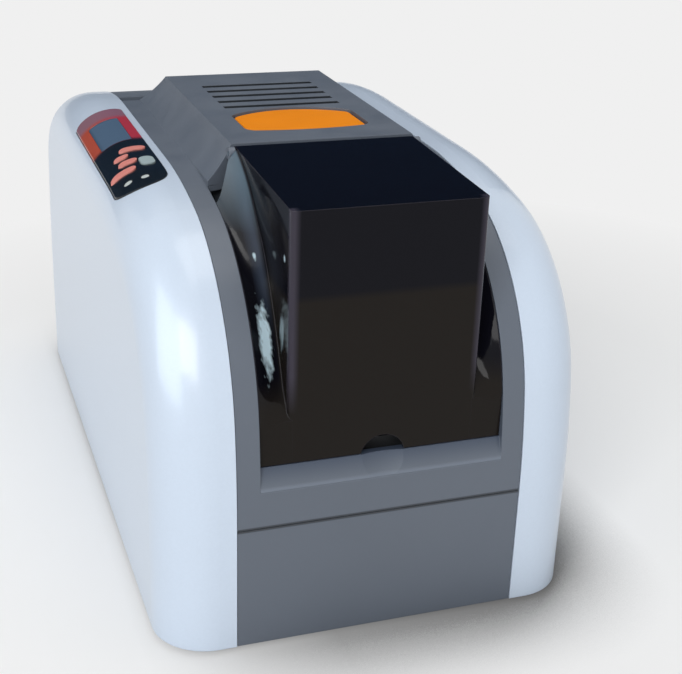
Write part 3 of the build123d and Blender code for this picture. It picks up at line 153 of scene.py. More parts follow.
class PanelLook(bpy.types.PropertyGroup):
    """Colours of the control panel."""
    outer: colour_prop("Outer Border", "Border on the outer side of the display",
                       (0.50, 0.085, 0.040))
    inner: colour_prop("Inner Border", "Border on the inner side of the display",
                       (0.52, 0.040, 0.062))
    rear: colour_prop("Rear Border", "Border colour behind the display", (0.24, 0.17, 0.23))
    dark: colour_prop("Key Field", "Field round the keys", (0.008, 0.012, 0.016))
    display: colour_prop("Display", "Unlit display", (0.100, 0.160, 0.245))
    key: colour_prop("Keys", "Colour of the four arrow keys", (0.72, 0.24, 0.20))
    menu_key: colour_prop("Menu Key", "Colour of the pale key", (0.34, 0.42, 0.43))
    lamp: colour_prop("Lamps", "Colour of the two status lamps", (0.62, 0.66, 0.64))


class InsideLook(bpy.types.PropertyGroup):
    """Colours and fine sizes of the mechanism."""
    steel: colour_prop("Steel", "Ground steel of shafts and pins", (0.56, 0.57, 0.58))
    zinc: colour_prop("Zinc", "Zinc plated sheet of the side plates", (0.52, 0.54, 0.56))
    rubber: colour_prop("Rubber", "Roller rubber", (0.030, 0.030, 0.032))
    cleaner: colour_prop("Cleaning Roller", "Tacky roller that takes dust off the cards",
                         (0.05, 0.17, 0.42))
    black: colour_prop("Black Plastic", "Moulded inner parts", (0.018, 0.019, 0.021))
    nylon: colour_prop("Nylon", "Bushes, spools and the latch", (0.68, 0.65, 0.57))
    ceramic: colour_prop("Ceramic", "Glazed bar of the print head", (0.62, 0.58, 0.50))
    board: colour_prop("Board", "Solder resist of the control board", (0.012, 0.10, 0.045))
    tin: colour_prop("Tin", "Tinned pads of the control board", (0.55, 0.55, 0.52))
    gold: colour_prop("Contacts", "Gilt of the socket contacts", (0.75, 0.52, 0.18))
    mark: colour_prop("Switch Marks", "Colour of the marks on the mains switch",
                      (0.78, 0.78, 0.76))
    board_thick: length_prop("Board Thickness", "Thickness of the control board", 1.6 * MM)
    belt_pitch: length_prop("Belt Pitch", "Pitch of the belts' teeth", 2.0 * MM, 0.001)
    belt_thick: length_prop("Belt Thickness", "Thickness of the drive belts", 1.2 * MM)
    driven_radius: length_prop("Driven Radius", "Outside of the short belt round its larger"
                               " pulley", 11.5 * MM)
    motor_radius: length_prop("Motor Radius", "Outside of the short belt round the motor's"
                              " pulley", 6.5 * MM)


class Studio(bpy.types.PropertyGroup):
    """Camera and light."""
    background: FloatProperty(
        name="Background", description="Brightness of the floor and backdrop", default=0.871,
        min=0.0, max=1.0)
    shadow_middle: FloatVectorProperty(
        name="Shadow Middle", description="Middle of the floor that shows shadows",
        subtype="TRANSLATION", default=(0.1, 0.05, 0.0), size=3)
    shadow_reach: length_prop("Shadow Reach", "How far the shadowed floor reaches", 0.45)
    # width of the painted shadow on the floor round the printer
    contact_shadow_reach: length_prop("Contact Reach", "Width of the shade round the printer", 0.06)
    key_strength: strength_prop("Key Light", "Power of the large front lamp", 40.0)
    top_strength: strength_prop("Top Light", "Power of the lamp overhead", 12.0)
    window_strength: strength_prop("Window Light", "Power of the lamp that only gloss shows",
                                   40.0)
    world_strength: strength_prop("Fill Light", "Strength of the light from all round", 0.44)
    focal: FloatProperty(
        name="Focal Length", description="Camera lens, on a sensor 36 mm wide", default=69.1,
        min=10.0)
    camera_place: FloatVectorProperty(
        name="Camera Place", description="Where the camera stands", subtype="XYZ",
        default=(-0.1914, -0.6637, 0.3678), size=3)
    camera_azimuth: angle_prop("Azimuth", "Turn of the view round the vertical", -19.49)
    camera_elevation: angle_prop("Elevation", "How far the view looks down", 23.27)
    camera_roll: angle_prop("Roll", "Tilt of the picture", 1.9)


# ---- node materials ----

class Finish:
    """A material made of nodes, in the object's own coordinates."""

    def __init__(self, name, roughness, metallic=0.0, specular=0.5, coat=0.0,
                 coat_rough=0.08):
        self.material = bpy.data.materials.new(name)
        self.material.use_nodes = True
        self.tree = self.material.node_tree
        self.tree.nodes.clear()
        self.shader = self.add("ShaderNodeBsdfPrincipled", {
            "Roughness": roughness, "Metallic": metallic, "Specular IOR Level": specular,
            "Coat Weight": coat, "Coat Roughness": coat_rough})
        self.output = self.add("ShaderNodeOutputMaterial", {"Surface": self.shader.outputs[0]})
        self.place = self.add("ShaderNodeTexCoord").outputs["Object"]
        self.normal = None

    def add(self, kind, inputs=None, **settings):
        made = self.tree.nodes.new(kind)
        for key, value in settings.items():
            setattr(made, key, value)
        for socket, value in (inputs or {}).items():
            self.feed(made.inputs[socket], value)
        return made

    def feed(self, socket, value):
        if isinstance(value, bpy.types.NodeSocket):
            self.tree.links.new(value, socket)
        else:
            socket.default_value = value

    def tint(self, socket, colour):
        self.feed(socket, colour if isinstance(colour, bpy.types.NodeSocket) else rgba(colour))

    def vary(self, name, value):
        """Drives one of the shader's inputs."""
        self.feed(self.shader.inputs[name], value)

    def vary_gloss(self, pattern, rough):
        """Lets a pattern move the roughness between two values."""
        self.vary("Roughness", self.ramp(pattern, 0.3, 0.7, *rough))

    def math(self, operation, a, b=0.0):
        return self.add("ShaderNodeMath", {0: a, 1: b}, operation=operation).outputs[0]

    def times(self, product, *others):
        for value in others:
            product = self.math("MULTIPLY", product, value)
        return product

    def off(self, value, middle):
        """How far a value is from a middle one."""
        return self.math("ABSOLUTE", self.math("SUBTRACT", value, middle))

    def ramp(self, value, start, end, low=0.0, high=1.0):
        return self.add("ShaderNodeMapRange", {
            "Value": value, "From Min": start, "From Max": end, "To Min": low,
            "To Max": high}).outputs[0]

    def axes(self):
        return tuple(self.add("ShaderNodeSeparateXYZ", {0: self.place}).outputs)

    def noise(self, size, detail=2.0, stretch=(1.0, 1.0, 1.0)):
        """Noise whose spots are about size across, drawn out along the stretched axes."""
        scaled = self.add("ShaderNodeMapping", {
            "Vector": self.place, "Scale": [1.0 / value for value in stretch]})
        made = self.add("ShaderNodeTexNoise", {
            "Vector": scaled.outputs[0], "Scale": 1.0 / size, "Detail": detail})
        return made.outputs[0]

    def mix(self, factor, low, high):
        made = self.add("ShaderNodeMix", {"Factor": factor}, data_type="RGBA")
        self.tint(made.inputs[6], low)
        self.tint(made.inputs[7], high)
        return made.outputs[2]

    def round_edges(self, radius):
        """Catches light on edges as their small rounding would; gives a mask of the edges."""
        bevel = self.add("ShaderNodeBevel", {"Radius": radius}, samples=6)
        flat = self.add("ShaderNodeNewGeometry").outputs["Normal"]
        turn = self.add("ShaderNodeVectorMath", {0: bevel.outputs[0], 1: flat},
                        operation="DOT_PRODUCT").outputs["Value"]
        self.normal = bevel.outputs[0]
        return self.ramp(turn, 0.97, 0.80)

    def bump(self, height, depth):
        inputs = {"Height": height, "Distance": depth, "Strength": 1.0}
        if self.normal is not None:
            inputs["Normal"] = self.normal
        self.normal = self.add("ShaderNodeBump", inputs).outputs[0]

    def done(self, colour):
        self.tint(self.shader.inputs["Base Color"], colour)
        if self.normal is not None:
            self.vary("Normal", self.normal)
        return self.material


def rgba(colour):
    return (*colour, 1.0)


def shade(colour, factor):
    return tuple(min(1.0, value * factor) for value in colour)


def moulded(name, colour, rough, grain=0.4 * MM, depth=0.01 * MM, edge=0.4 * MM, wear=0.25,
            mottle=0.05, coat=0.0, specular=0.5):
    """Moulded plastic: fine eroded grain, slight mottling and edges rubbed a little paler."""
    made = Finish(name, rough[0], coat=coat, specular=specular)
    edges = made.round_edges(edge)
    tone = made.mix(made.noise(35 * MM, 3.0), shade(colour, 1.0 - mottle),
                    shade(colour, 1.0 + mottle))
    scuffs = made.ramp(made.noise(6 * MM, 6.0, (1.0, 2.5, 1.0)), 0.45, 0.75, wear * 0.4, wear)
    tone = made.mix(made.times(edges, scuffs), tone, shade(colour, 1.35))
    made.vary_gloss(made.noise(18 * MM, 5.0), rough)
    made.bump(made.noise(grain, 4.0), depth)
    return made.done(tone)


def nylon(name, look, edge=0.4 * MM):
    return moulded(name, look.nylon, (0.35, 0.5), 0.8 * MM, edge=edge)


def inner_plastic(name, colour):
    return moulded(name, colour, (0.4, 0.55), 0.5 * MM, 0.015 * MM, 0.5 * MM)


def glossy_white(look):
    """Painted shell: smooth and glossy, with a trace of orange peel."""
    made = Finish("shell_white", 0.28, coat=0.25)
    made.round_edges(look.edge_round)
    tone = made.mix(made.noise(1.3 * MM, 3.0), shade(look.white, 0.975), shade(look.white, 1.025))
    made.bump(made.noise(1.6 * MM, 0.0), 0.0012 * MM)
    return made.done(tone)


def frame_grey(look):
    """Finely eroded grey plastic, with painted shade on the sill under the cover and a painted
    highlight along the sill's lower edge, painted shade on the walls inside the vents, and a dark
    line painted as shadow along the parting over the lower panel."""
    made = Finish("frame_grey", 0.43)
    grey = look.grey
    edges = made.round_edges(look.edge_round)
    tone = made.mix(made.noise(35 * MM, 3.0), shade(grey, 0.97), shade(grey, 1.03))
    scuffs = made.ramp(made.noise(6 * MM, 6.0, (1.0, 2.5, 1.0)), 0.45, 0.75, 0.14, 0.35)
    tone = made.mix(made.times(edges, scuffs), tone, shade(grey, 1.5))
    x, y, z = made.axes()
    reach = made.math("ABSOLUTE", x)
    front = made.ramp(y, FRONT + 1 * MM, FRONT - 1 * MM)
    sill = made.times(front, made.ramp(reach, look.sill_reach + 0.1 * MM,
                                       look.sill_reach - 0.1 * MM))
    # painted shade: the sill darkens towards the cover above it
    sill_shadow = made.times(sill, made.ramp(z, look.sill_height + 1.5 * MM,
                                        look.sill_height + 9.5 * MM, 0.0, 0.75))
    tone = made.mix(sill_shadow, tone, look.sill_painted_shade)
    # painted highlight: a paler line along the sill's lower edge
    sill_highlight = made.ramp(made.off(z, look.sill_height), 1.6 * MM, 0.5 * MM, 0.0, 0.35)
    tone = made.mix(made.times(sill, sill_highlight), tone, shade(grey, 1.9))
    # painted shade: the walls inside the vents are painted nearly black
    half = look.vent_length / 2
    vent_shade = made.times(
        made.ramp(z, HOOD_TOP - 1.8 * MM, HOOD_TOP - 1.7 * MM),
        made.ramp(z, HOOD_TOP - 0.1 * MM, HOOD_TOP - 0.3 * MM),
        made.ramp(reach, look.vent_reach + 0.5 * MM, look.vent_reach - 0.5 * MM),
        made.ramp(made.off(y, look.vent_middle), half + 1 * MM, half - 1 * MM, 0.0, 0.9))
    tone = made.mix(vent_shade, tone, shade(grey, 0.08))
    # painted shadow: a dark band along the parting over the lower panel
    parting_shadow = made.ramp(made.off(z, look.parting_height), 1.3 * MM, 0.8 * MM, 0.0, 0.8)
    tone = made.mix(made.times(front, parting_shadow), tone, shade(grey, 0.15))
    made.vary_gloss(made.noise(18 * MM, 5.0), (0.36, 0.5))
    made.bump(made.noise(look.grain, 4.0), look.grain_depth)
    return made.done(tone)


def ground_metal(name, colour, rough, along=(8.0, 1.0, 1.0)):
    """Metal with fine lines of grinding or rolling drawn out along one axis."""
    made = Finish(name, rough[0], metallic=1.0)
    edges = made.round_edges(0.25 * MM)
    lines = made.noise(0.5 * MM, 5.0, along)
    tone = made.mix(made.noise(22 * MM, 4.0), shade(colour, 0.90), shade(colour, 1.06))
    tone = made.mix(made.times(edges, 0.5), tone, shade(colour, 1.3))
    made.vary_gloss(lines, rough)
    made.bump(lines, 0.006 * MM)
    return made.done(tone)


def soft_rubber(name, colour, rough=(0.55, 0.75), depth=0.02 * MM):
    """Ground rubber: dull, with fine pits and a dusty bloom."""
    made = Finish(name, rough[0], specular=0.35)
    made.round_edges(0.4 * MM)
    pits = made.noise(0.3 * MM, 5.0)
    dust = made.ramp(made.noise(9 * MM, 6.0), 0.4, 0.8)
    made.vary_gloss(pits, rough)
    made.bump(pits, depth)
    return made.done(made.mix(dust, colour, shade(colour, 1.7)))


def painted_reflection_mask(made, middle, half, strength):
    """Mask of a painted reflection, a soft oval broken up by streaks; middle and half sizes in
    mm.
    """
    near = made.add("ShaderNodeMapping", {
        "Vector": made.place, "Location": [value * MM for value in middle],
        "Scale": [value * MM for value in half]}, vector_type="TEXTURE")
    away = made.add("ShaderNodeVectorMath", {0: near.outputs[0]},
                    operation="LENGTH").outputs["Value"]
    streaks = made.noise(2.2 * MM, 4.0, (1.0, 1.0, 3.5))
    away = made.math("ADD", away, made.ramp(streaks, 0.3, 0.7, -0.3, 0.25))
    return made.ramp(away, 1.0, 0.45, 0.0, strength)


def smoked_plastic(look):
    """The hopper cover: polished smoked plastic. Its box is nearly black and its scooped wings
    carry a gloss coat. Its walls are painted paler where they are seen edge on and along its
    rounded edges, as a painted highlight; the wings get a painted highlight down their middle, a
    painted reflection at their top and, on the left wing, painted reflections and glints."""
    def level(share):
        """A height, as a share of the way up the cover."""
        return COVER[0].z + share * (COVER[1].z - COVER[0].z)

    made = Finish("smoked_cover", 0.06, specular=0.12, coat_rough=0.25)
    edges = made.round_edges(0.6 * MM)
    x, y, z = made.axes()
    face, side = COVER[0].y, look.box_width / 2
    reach = made.math("ABSOLUTE", x)
    wing = made.ramp(reach, side + 0.2 * MM, side + 1.0 * MM)
    scoop = made.times(wing, made.ramp(z, level(0.22), level(0.32)))
    brown = made.times(made.ramp(z, level(0.66), level(0.63)),
                       made.math("SUBTRACT", 1.0, scoop))
    tone = made.mix(brown, look.smoke, look.smoke_low)
    # painted highlight: the box's front edges and the rounded edges are painted paler
    edge_highlight = made.times(made.ramp(reach, side - 4.2 * MM, side - 1.5 * MM),
                       made.ramp(reach, side + 0.3 * MM, side + 0.1 * MM),
                       made.ramp(y, face + 5 * MM, face + 3 * MM),
                       made.ramp(z, level(0.2), level(0.35)))
    edge_highlight = made.math("MAXIMUM", edge_highlight, made.times(edges, 0.7))
    tone = made.mix(edge_highlight, tone, look.smoke_edge_highlight)
    made.vary("Coat Weight", made.times(wing, made.ramp(z, level(0.3), level(0.6), 0.0, 0.45),
                                        made.ramp(x, side, -side)))
    # painted highlight: a paler band down the middle of the wings
    streak_highlight = made.times(made.ramp(reach, side + 0.4 * MM, side + 2.5 * MM),
                        made.ramp(reach, side + 7.5 * MM, side + 3.5 * MM),
                        made.ramp(z, level(0.45), level(0.62)))
    tone = made.mix(streak_highlight, tone, look.smoke_streak_highlight)
    # painted reflection: the top of the wings is painted paler
    high = made.times(wing, made.ramp(z, level(0.76), level(0.93)))
    tone = made.mix(high, tone, look.smoke_wing_reflection)
    # painted reflections and glints on the left wing
    for reflection_spot in PAINTED_REFLECTIONS:
        tone = made.mix(painted_reflection_mask(made, *reflection_spot), tone, look.smoke_painted_reflection)
    made.vary("Roughness", made.ramp(made.noise(14 * MM, 6.0), 0.35, 0.8, 0.045, 0.11))
    made.bump(made.noise(30 * MM, 1.0), 0.10 * MM)
    return made.done(tone)


def panel_print(look):
    """The control panel's glossy print: a two-tone border round the display, dark below."""
    made = Finish("panel_print", 0.16, specular=0.35, coat=0.1)
    made.round_edges(0.35 * MM)
    x, y, _ = made.axes()
    across = made.ramp(x, SCREEN[0].x + 1.0 * MM, SCREEN[1].x - 1.0 * MM)
    rear = made.ramp(y, SCREEN[1].y - 1.0 * MM, SCREEN[1].y + 6.0 * MM, 0.0, 0.75)
    border = made.mix(rear, made.mix(across, look.outer, look.inner), look.rear)
    dark = made.ramp(y, SCREEN[0].y + 4.0 * MM, SCREEN[0].y - 1.5 * MM)
    tone = made.mix(dark, border, look.dark)
    speck = made.ramp(made.noise(1.2 * MM, 4.0), 0.62, 0.8)
    tone = made.mix(made.times(speck, 0.12), tone, shade(look.inner, 0.5))
    made.vary_gloss(made.noise(8 * MM, 5.0), (0.10, 0.2))
    made.bump(made.noise(5 * MM, 2.0), 0.01 * MM)
    return made.done(tone)


def display_glass(look):
    """An unlit display: a faint grid of cells under a clear window."""
    made = Finish("display_glass", 0.12, specular=0.35, coat=0.1)
    x, y, _ = made.axes()
    cell = 0.6 * MM
    columns, rows = (made.ramp(made.math("FRACT", made.math("DIVIDE", along, cell)), 0.80, 0.88)
                     for along in (x, y))
    gap = made.math("MAXIMUM", columns, rows)
    tone = made.mix(made.times(gap, 0.35), look.display, shade(look.display, 0.7))
    edge_dark = made.math("MAXIMUM",
                          made.ramp(y, SCREEN[1].y - 2.5 * MM, SCREEN[1].y),
                          made.ramp(x, SCREEN[0].x + 1.5 * MM, SCREEN[0].x))
    tone = made.mix(made.times(edge_dark, 0.5), tone, shade(look.display, 0.4))
    made.vary_gloss(made.noise(6 * MM, 4.0), (0.08, 0.16))
    made.bump(made.noise(9 * MM, 1.0), 0.01 * MM)
    return made.done(tone)


def wound_film(name, colours, width):
    """Ribbon film: glossy, in panels of colour with fine winding lines."""
    made = Finish(name, 0.18, coat=0.3)
    _, y, z = made.axes()
    along = made.math("ADD", y, z)
    phase = made.math("FRACT", made.math("DIVIDE", along, width * len(colours)))
    tone = colours[0]
    for index, colour in enumerate(colours[1:], 1):
        start = index / len(colours)
        tone = made.mix(made.ramp(phase, start - 0.01, start + 0.01), tone, colour)
    lines = made.noise(0.25 * MM, 3.0, (0.4, 6.0, 6.0))
    made.vary_gloss(lines, (0.15, 0.32))
    made.bump(lines, 0.01 * MM)
    return made.done(tone)


def circuit_board(look):
    """Solder resist with paler copper tracks under it, small tinned pads and black chips."""
    made = Finish("circuit_board", 0.35, coat=0.2)
    made.round_edges(0.3 * MM)
    cells = made.add("ShaderNodeTexVoronoi", {
        "Vector": made.place, "Scale": 1.0 / (4.5 * MM), "Randomness": 0.55},
        distance="CHEBYCHEV", feature="F1").outputs["Distance"]
    tracks = made.ramp(made.math("FRACT", made.times(cells, 4.0)), 0.62, 0.70)
    pads = made.ramp(cells, 0.10, 0.07)
    tone = made.mix(made.times(tracks, 0.6), look.board, shade(look.board, 1.9))
    tone = made.mix(pads, tone, look.tin)
    face = BOARD[1].x - look.board_thick
    chip = made.ramp(made.axes()[0], face - 0.2 * MM, face - 0.4 * MM)
    tone = made.mix(chip, tone, look.black)
    made.vary("Metallic", made.times(pads, made.math("SUBTRACT", 1.0, chip), 0.9))
    made.vary_gloss(made.noise(7 * MM), (0.28, 0.45))
    made.bump(tracks, 0.03 * MM)
    return made.done(tone)


def socket_black(look):
    """Moulded inlet, with its three blades in plated metal."""
    made = Finish("socket_black", 0.4)
    made.round_edges(0.4 * MM)
    x, y, z = made.axes()
    middle = (INLET[0] + INLET[1]) / 2
    blade = made.times(
        made.ramp(made.off(x, middle.x), 9.0 * MM, 8.8 * MM),
        made.ramp(made.off(z, middle.z), 5.5 * MM, 5.3 * MM),
        made.ramp(y, INLET[1].y - 14.9 * MM, INLET[1].y - 14.7 * MM))
    fine = made.noise(0.4 * MM, 4.0)
    tone = made.mix(made.noise(20 * MM), look.black, shade(look.black, 1.3))
    made.vary("Metallic", blade)
    made.vary_gloss(fine, (0.34, 0.48))
    made.bump(fine, 0.01 * MM)
    return made.done(made.mix(blade, tone, look.steel))


def socket_shell(look):
    """Plated shells of the data sockets, with a black liner inside their rims."""
    made = Finish("socket_shell", 0.3)
    made.round_edges(0.3 * MM)
    rim = made.ramp(made.axes()[1], PORTS[1].y - 0.6 * MM, PORTS[1].y - 0.4 * MM)
    lines = made.noise(0.5 * MM, 4.0, (6.0, 1.0, 1.0))
    tone = made.mix(made.noise(9 * MM), shade(look.black, 0.8), shade(look.black, 1.3))
    made.vary("Metallic", rim)
    made.vary_gloss(lines, (0.25, 0.4))
    made.bump(lines, 0.005 * MM)
    return made.done(made.mix(rim, tone, look.zinc))


def motor_finish(look):
    """Stepper motor: black end caps and a stack of bare steel sheets between them."""
    made = Finish("motor_stack", 0.4)
    made.round_edges(0.5 * MM)
    x = made.axes()[0]
    low, high = MOTOR[0].x + 8 * MM, MOTOR[1].x - 8 * MM
    stack = made.times(made.ramp(x, low, low + 0.2 * MM), made.ramp(x, high, high - 0.2 * MM))
    sheets = made.math("FRACT", made.math("DIVIDE", x, 0.5 * MM))
    gap = made.times(stack, made.ramp(sheets, 0.75, 0.9))
    stain = made.noise(8 * MM, 4.0)
    metal = made.mix(stain, shade(look.steel, 0.7), look.steel)
    tone = made.mix(stack, look.black, made.mix(gap, metal, shade(look.steel, 0.3)))
    made.vary("Metallic", stack)
    made.vary_gloss(stain, (0.3, 0.5))
    made.bump(made.math("ADD", made.noise(0.5 * MM, 4.0), gap), 0.02 * MM)
    return made.done(tone)


def dress(finish, *names):
    for name in names:
        slots = NODES[name].data.materials
        slots.clear()
        slots.append(finish)


# ---- mesh helpers ----

def sharpen(bm, angle=math.radians(32)):
    for face in bm.faces:
        face.smooth = True
    for edge in bm.edges:
        edge.smooth = edge.calc_face_angle(0.0) < angle


def islands(name):
    """Boxes of the separate solids in a node, as (lowest, highest) corners."""
    bm = bmesh.new()
    bm.from_mesh(NODES[name].data)
    bmesh.ops.remove_doubles(bm, verts=bm.verts, dist=0.001 * MM)
    boxes, waiting = [], set(bm.verts)
    while waiting:
        places, front = [], [waiting.pop()]
        while front:
            vert = front.pop()
            places.append(vert.co.copy())
            near = {edge.other_vert(vert) for edge in vert.link_edges} & waiting
            waiting -= near
            front += near
        boxes.append(tuple(Vector(end(place[axis] for place in places) for axis in range(3))
                           for end in (min, max)))
    bm.free()
    return sorted(boxes, key=lambda box: tuple(round(value, 5) for value in box[0]))


def landing(name, start, heading):
    """Where a line from start first meets a node, as a frame whose z axis leaves the face."""
    tree = BVHTree.FromObject(NODES[name], bpy.context.evaluated_depsgraph_get())
    point, normal, _, _ = tree.ray_cast(Vector(start), Vector(heading))
    return facing(point, normal)


def facing(point, heading):
    turn = Vector(heading).to_track_quat("Z", "Y").to_matrix().to_4x4()
    return Matrix.Translation(point) @ turn


def turned(bm, place, profile, segments=48):
    """Adds a turned form: (radius, height) points spun round the z axis of place. Gives its
    rings of vertices."""
    rings = []
    for radius, height in profile:
        turns = [math.tau * step / segments for step in range(segments if radius else 1)]
        rings.append([bm.verts.new(place @ Vector((
            radius * math.cos(turn), radius * math.sin(turn), height))) for turn in turns])
    for low, high in zip(rings, rings[1:]):
        for step in range(segments):
            after = step + 1
            corners = (low[step % len(low)], low[after % len(low)],
                       high[after % len(high)], high[step % len(high)])
            bm.faces.new(list(dict.fromkeys(corners)))
    return rings


def loft(bm, rings, closed=True):
    """Joins rings of equal length with quads, and caps the ends unless the loft is closed."""
    count = len(rings[0])
    pairs = list(zip(rings, rings[1:]))
    if closed:
        pairs.append((rings[-1], rings[0]))
    else:
        bm.faces.new(rings[0][::-1])
        bm.faces.new(rings[-1])
    for low, high in pairs:
        for step in range(count):
            after = (step + 1) % count
            bm.faces.new((low[step], low[after], high[after], high[step]))


def cross_head(bm, place, radius, height):
    """Adds a pan-head screw with a cross recess."""
    rim = turned(bm, place, ((0.0, 0.0), (radius, 0.0), (radius, 0.45 * height),
                             (0.9 * radius, 0.82 * height), (0.72 * radius, height)), 32)[-1]
    arm, half = 0.56 * radius, 0.13 * radius
    plan = ((arm, -half), (arm, half), (half, half), (half, arm), (-half, arm), (-half, half),
            (-arm, half), (-arm, -half), (-half, -half), (-half, -arm), (half, -arm),
            (half, -half))
    mouth = [bm.verts.new(place @ Vector((x, y, height))) for x, y in plan]
    floor = [bm.verts.new(place @ Vector((0.8 * x, 0.8 * y, 0.3 * height))) for x, y in plan]
    for step in range(len(plan)):
        after = (step + 1) % len(plan)
        bm.faces.new((mouth[step], mouth[after], floor[after], floor[step]))
    bm.faces.new(floor)
    edges = [bm.edges.get((loop[step - 1], loop[step]))
             for loop in (rim, mouth) for step in range(len(loop))]
    bmesh.ops.triangle_fill(bm, use_beauty=True, edges=edges)


def loop_points(near, far, near_r, far_r, pitch):
    """Points and outward normals along a loop round two wheels, four to each pitch."""
    apart = far - near
    lean = math.acos((near_r - far_r) / apart.length)
    heading = math.atan2(apart.y, apart.x)
    straight = apart.length * math.sin(lean)
    wheels = ((near, near_r, heading + lean, math.tau - 2 * lean),
              (far, far_r, heading - lean, 2 * lean))
    total = 2 * straight + sum(radius * span for _, radius, _, span in wheels)
    count = 4 * round(total / pitch)
    for index in range(count):
        along = total * index / count
        for (centre, radius, start, span), (other, other_r, _, _) in zip(wheels, wheels[::-1]):
            turn = start + min(along / radius, span)
            normal = Vector((math.cos(turn), math.sin(turn)))
            point = centre + radius * normal
            along -= radius * span
            if along < 0:
                break
            if along < straight:
                point = point.lerp(other + other_r * normal, along / straight)
                break
            along -= straight
        yield point, normal


def toothed_belt(bm, near, far, near_r, far_r, span, pitch, thick):
    """Adds a toothed belt; near and far are wheel centres in (y, z), the radii reach its
    outside, and span gives its two sides' x."""
    rings = []
    inside = [radius - thick for radius in (near_r, far_r)]
    for index, (point, normal) in enumerate(loop_points(near, far, *inside, pitch)):
        inner = point + normal * (0.0 if index % 4 < 2 else 0.45 * thick)
        outer = point + normal * thick
        corners = ((span[0], inner), (span[1], inner), (span[1], outer), (span[0], outer))
        rings.append([bm.verts.new((x, place.x, place.y)) for x, place in corners])
    loft(bm, rings)


def bent_strip(bm, path, across, width, thick):
    """Adds a thin strip that follows path, a list of points in (y, z), at one x."""
    rings = []
    for index, point in enumerate(path):
        before, after = path[max(index - 1, 0)], path[min(index + 1, len(path) - 1)]
        along = (after - before).normalized()
        side = Vector((-along.y, along.x)) * thick / 2
        corners = ((-1, -side), (1, -side), (1, side), (-1, side))
        rings.append([bm.verts.new((across + sign * width / 2, point.x + shift.x,
                                    point.y + shift.y)) for sign, shift in corners])
    loft(bm, rings, closed=False)


def add_object(name, bm, finish):
    mesh = bpy.data.meshes.new(name)
    bm.to_mesh(mesh)
    bm.free()
    mesh.materials.append(finish)
    made = bpy.data.objects.new(name, mesh)
    bpy.context.scene.collection.objects.link(made)
    return made


def add_piece(name, bm, body, finish):
    """Turns a bmesh into a piece that rides on a body."""
    bmesh.ops.recalc_face_normals(bm, faces=bm.faces)
    sharpen(bm)
    piece = add_object(name, bm, finish)
    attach(piece, body)
    return piece


# ---- operators: one for each piece or group of like pieces ----

class Dresser:
    """Shared by all operators of the printer."""
    bl_options = {"REGISTER", "UNDO"}


class PRINTER_OT_shells(Dresser, bpy.types.Operator):
    """Glossy white finish of the two side shells."""
    bl_idname = "printer.shells"
    bl_label = "Side Shells"

    def execute(self, context):
        look = context.scene.printer_housing
        dress(glossy_white(look), "left_shell", "right_shell")
        return {"FINISHED"}


class PRINTER_OT_lid(Dresser, bpy.types.Operator):
    """Fine-grained grey finish of the lid, the lower panel and the rear panel."""
    bl_idname = "printer.lid"
    bl_label = "Lid and Panels"

    def execute(self, context):
        look = context.scene.printer_housing
        dress(frame_grey(look), "top_cover", "lower_front_panel", "rear_panel")
        return {"FINISHED"}


class PRINTER_OT_hopper_cover(Dresser, bpy.types.Operator):
    """Smoked, polished hopper cover."""
    bl_idname = "printer.hopper_cover"
    bl_label = "Hopper Cover"

    def execute(self, context):
        dress(smoked_plastic(context.scene.printer_housing), "hopper_cover")
        return {"FINISHED"}


class PRINTER_OT_release(Dresser, bpy.types.Operator):
    """Orange release button and the latch that it turns."""
    bl_idname = "printer.release"
    bl_label = "Release Button and Latch"

    def execute(self, context):
        look = context.scene.printer_housing
        inside = context.scene.printer_inside
        orange = moulded("button_orange", look.orange, (0.28, 0.4), 0.6 * MM, 0.006 * MM,
                         0.6 * MM, wear=0.2, mottle=0.03, specular=0.15)
        dress(orange, "release_button")
        dress(nylon("latch_nylon", inside, 0.5 * MM), "latch_bar")
        return {"FINISHED"}


class PRINTER_OT_control_panel(Dresser, bpy.types.Operator):
    """Printed panel, display, keys and lamps."""
    bl_idname = "printer.control_panel"
    bl_label = "Control Panel"

    def execute(self, context):
        look = context.scene.printer_panel
        dress(panel_print(look), "panel_bezel")
        dress(display_glass(look), "lcd_window")
        dress(moulded("key_salmon", look.key, (0.4, 0.55), 0.3 * MM),
              "up_key", "left_key", "right_key", "down_key")
        dress(moulded("key_pale", look.menu_key, (0.4, 0.55), 0.3 * MM), "menu_key")
        dress(moulded("lamp_clear", look.lamp, (0.2, 0.3), 0.5 * MM, coat=0.3), "status_lamps")
        return {"FINISHED"}


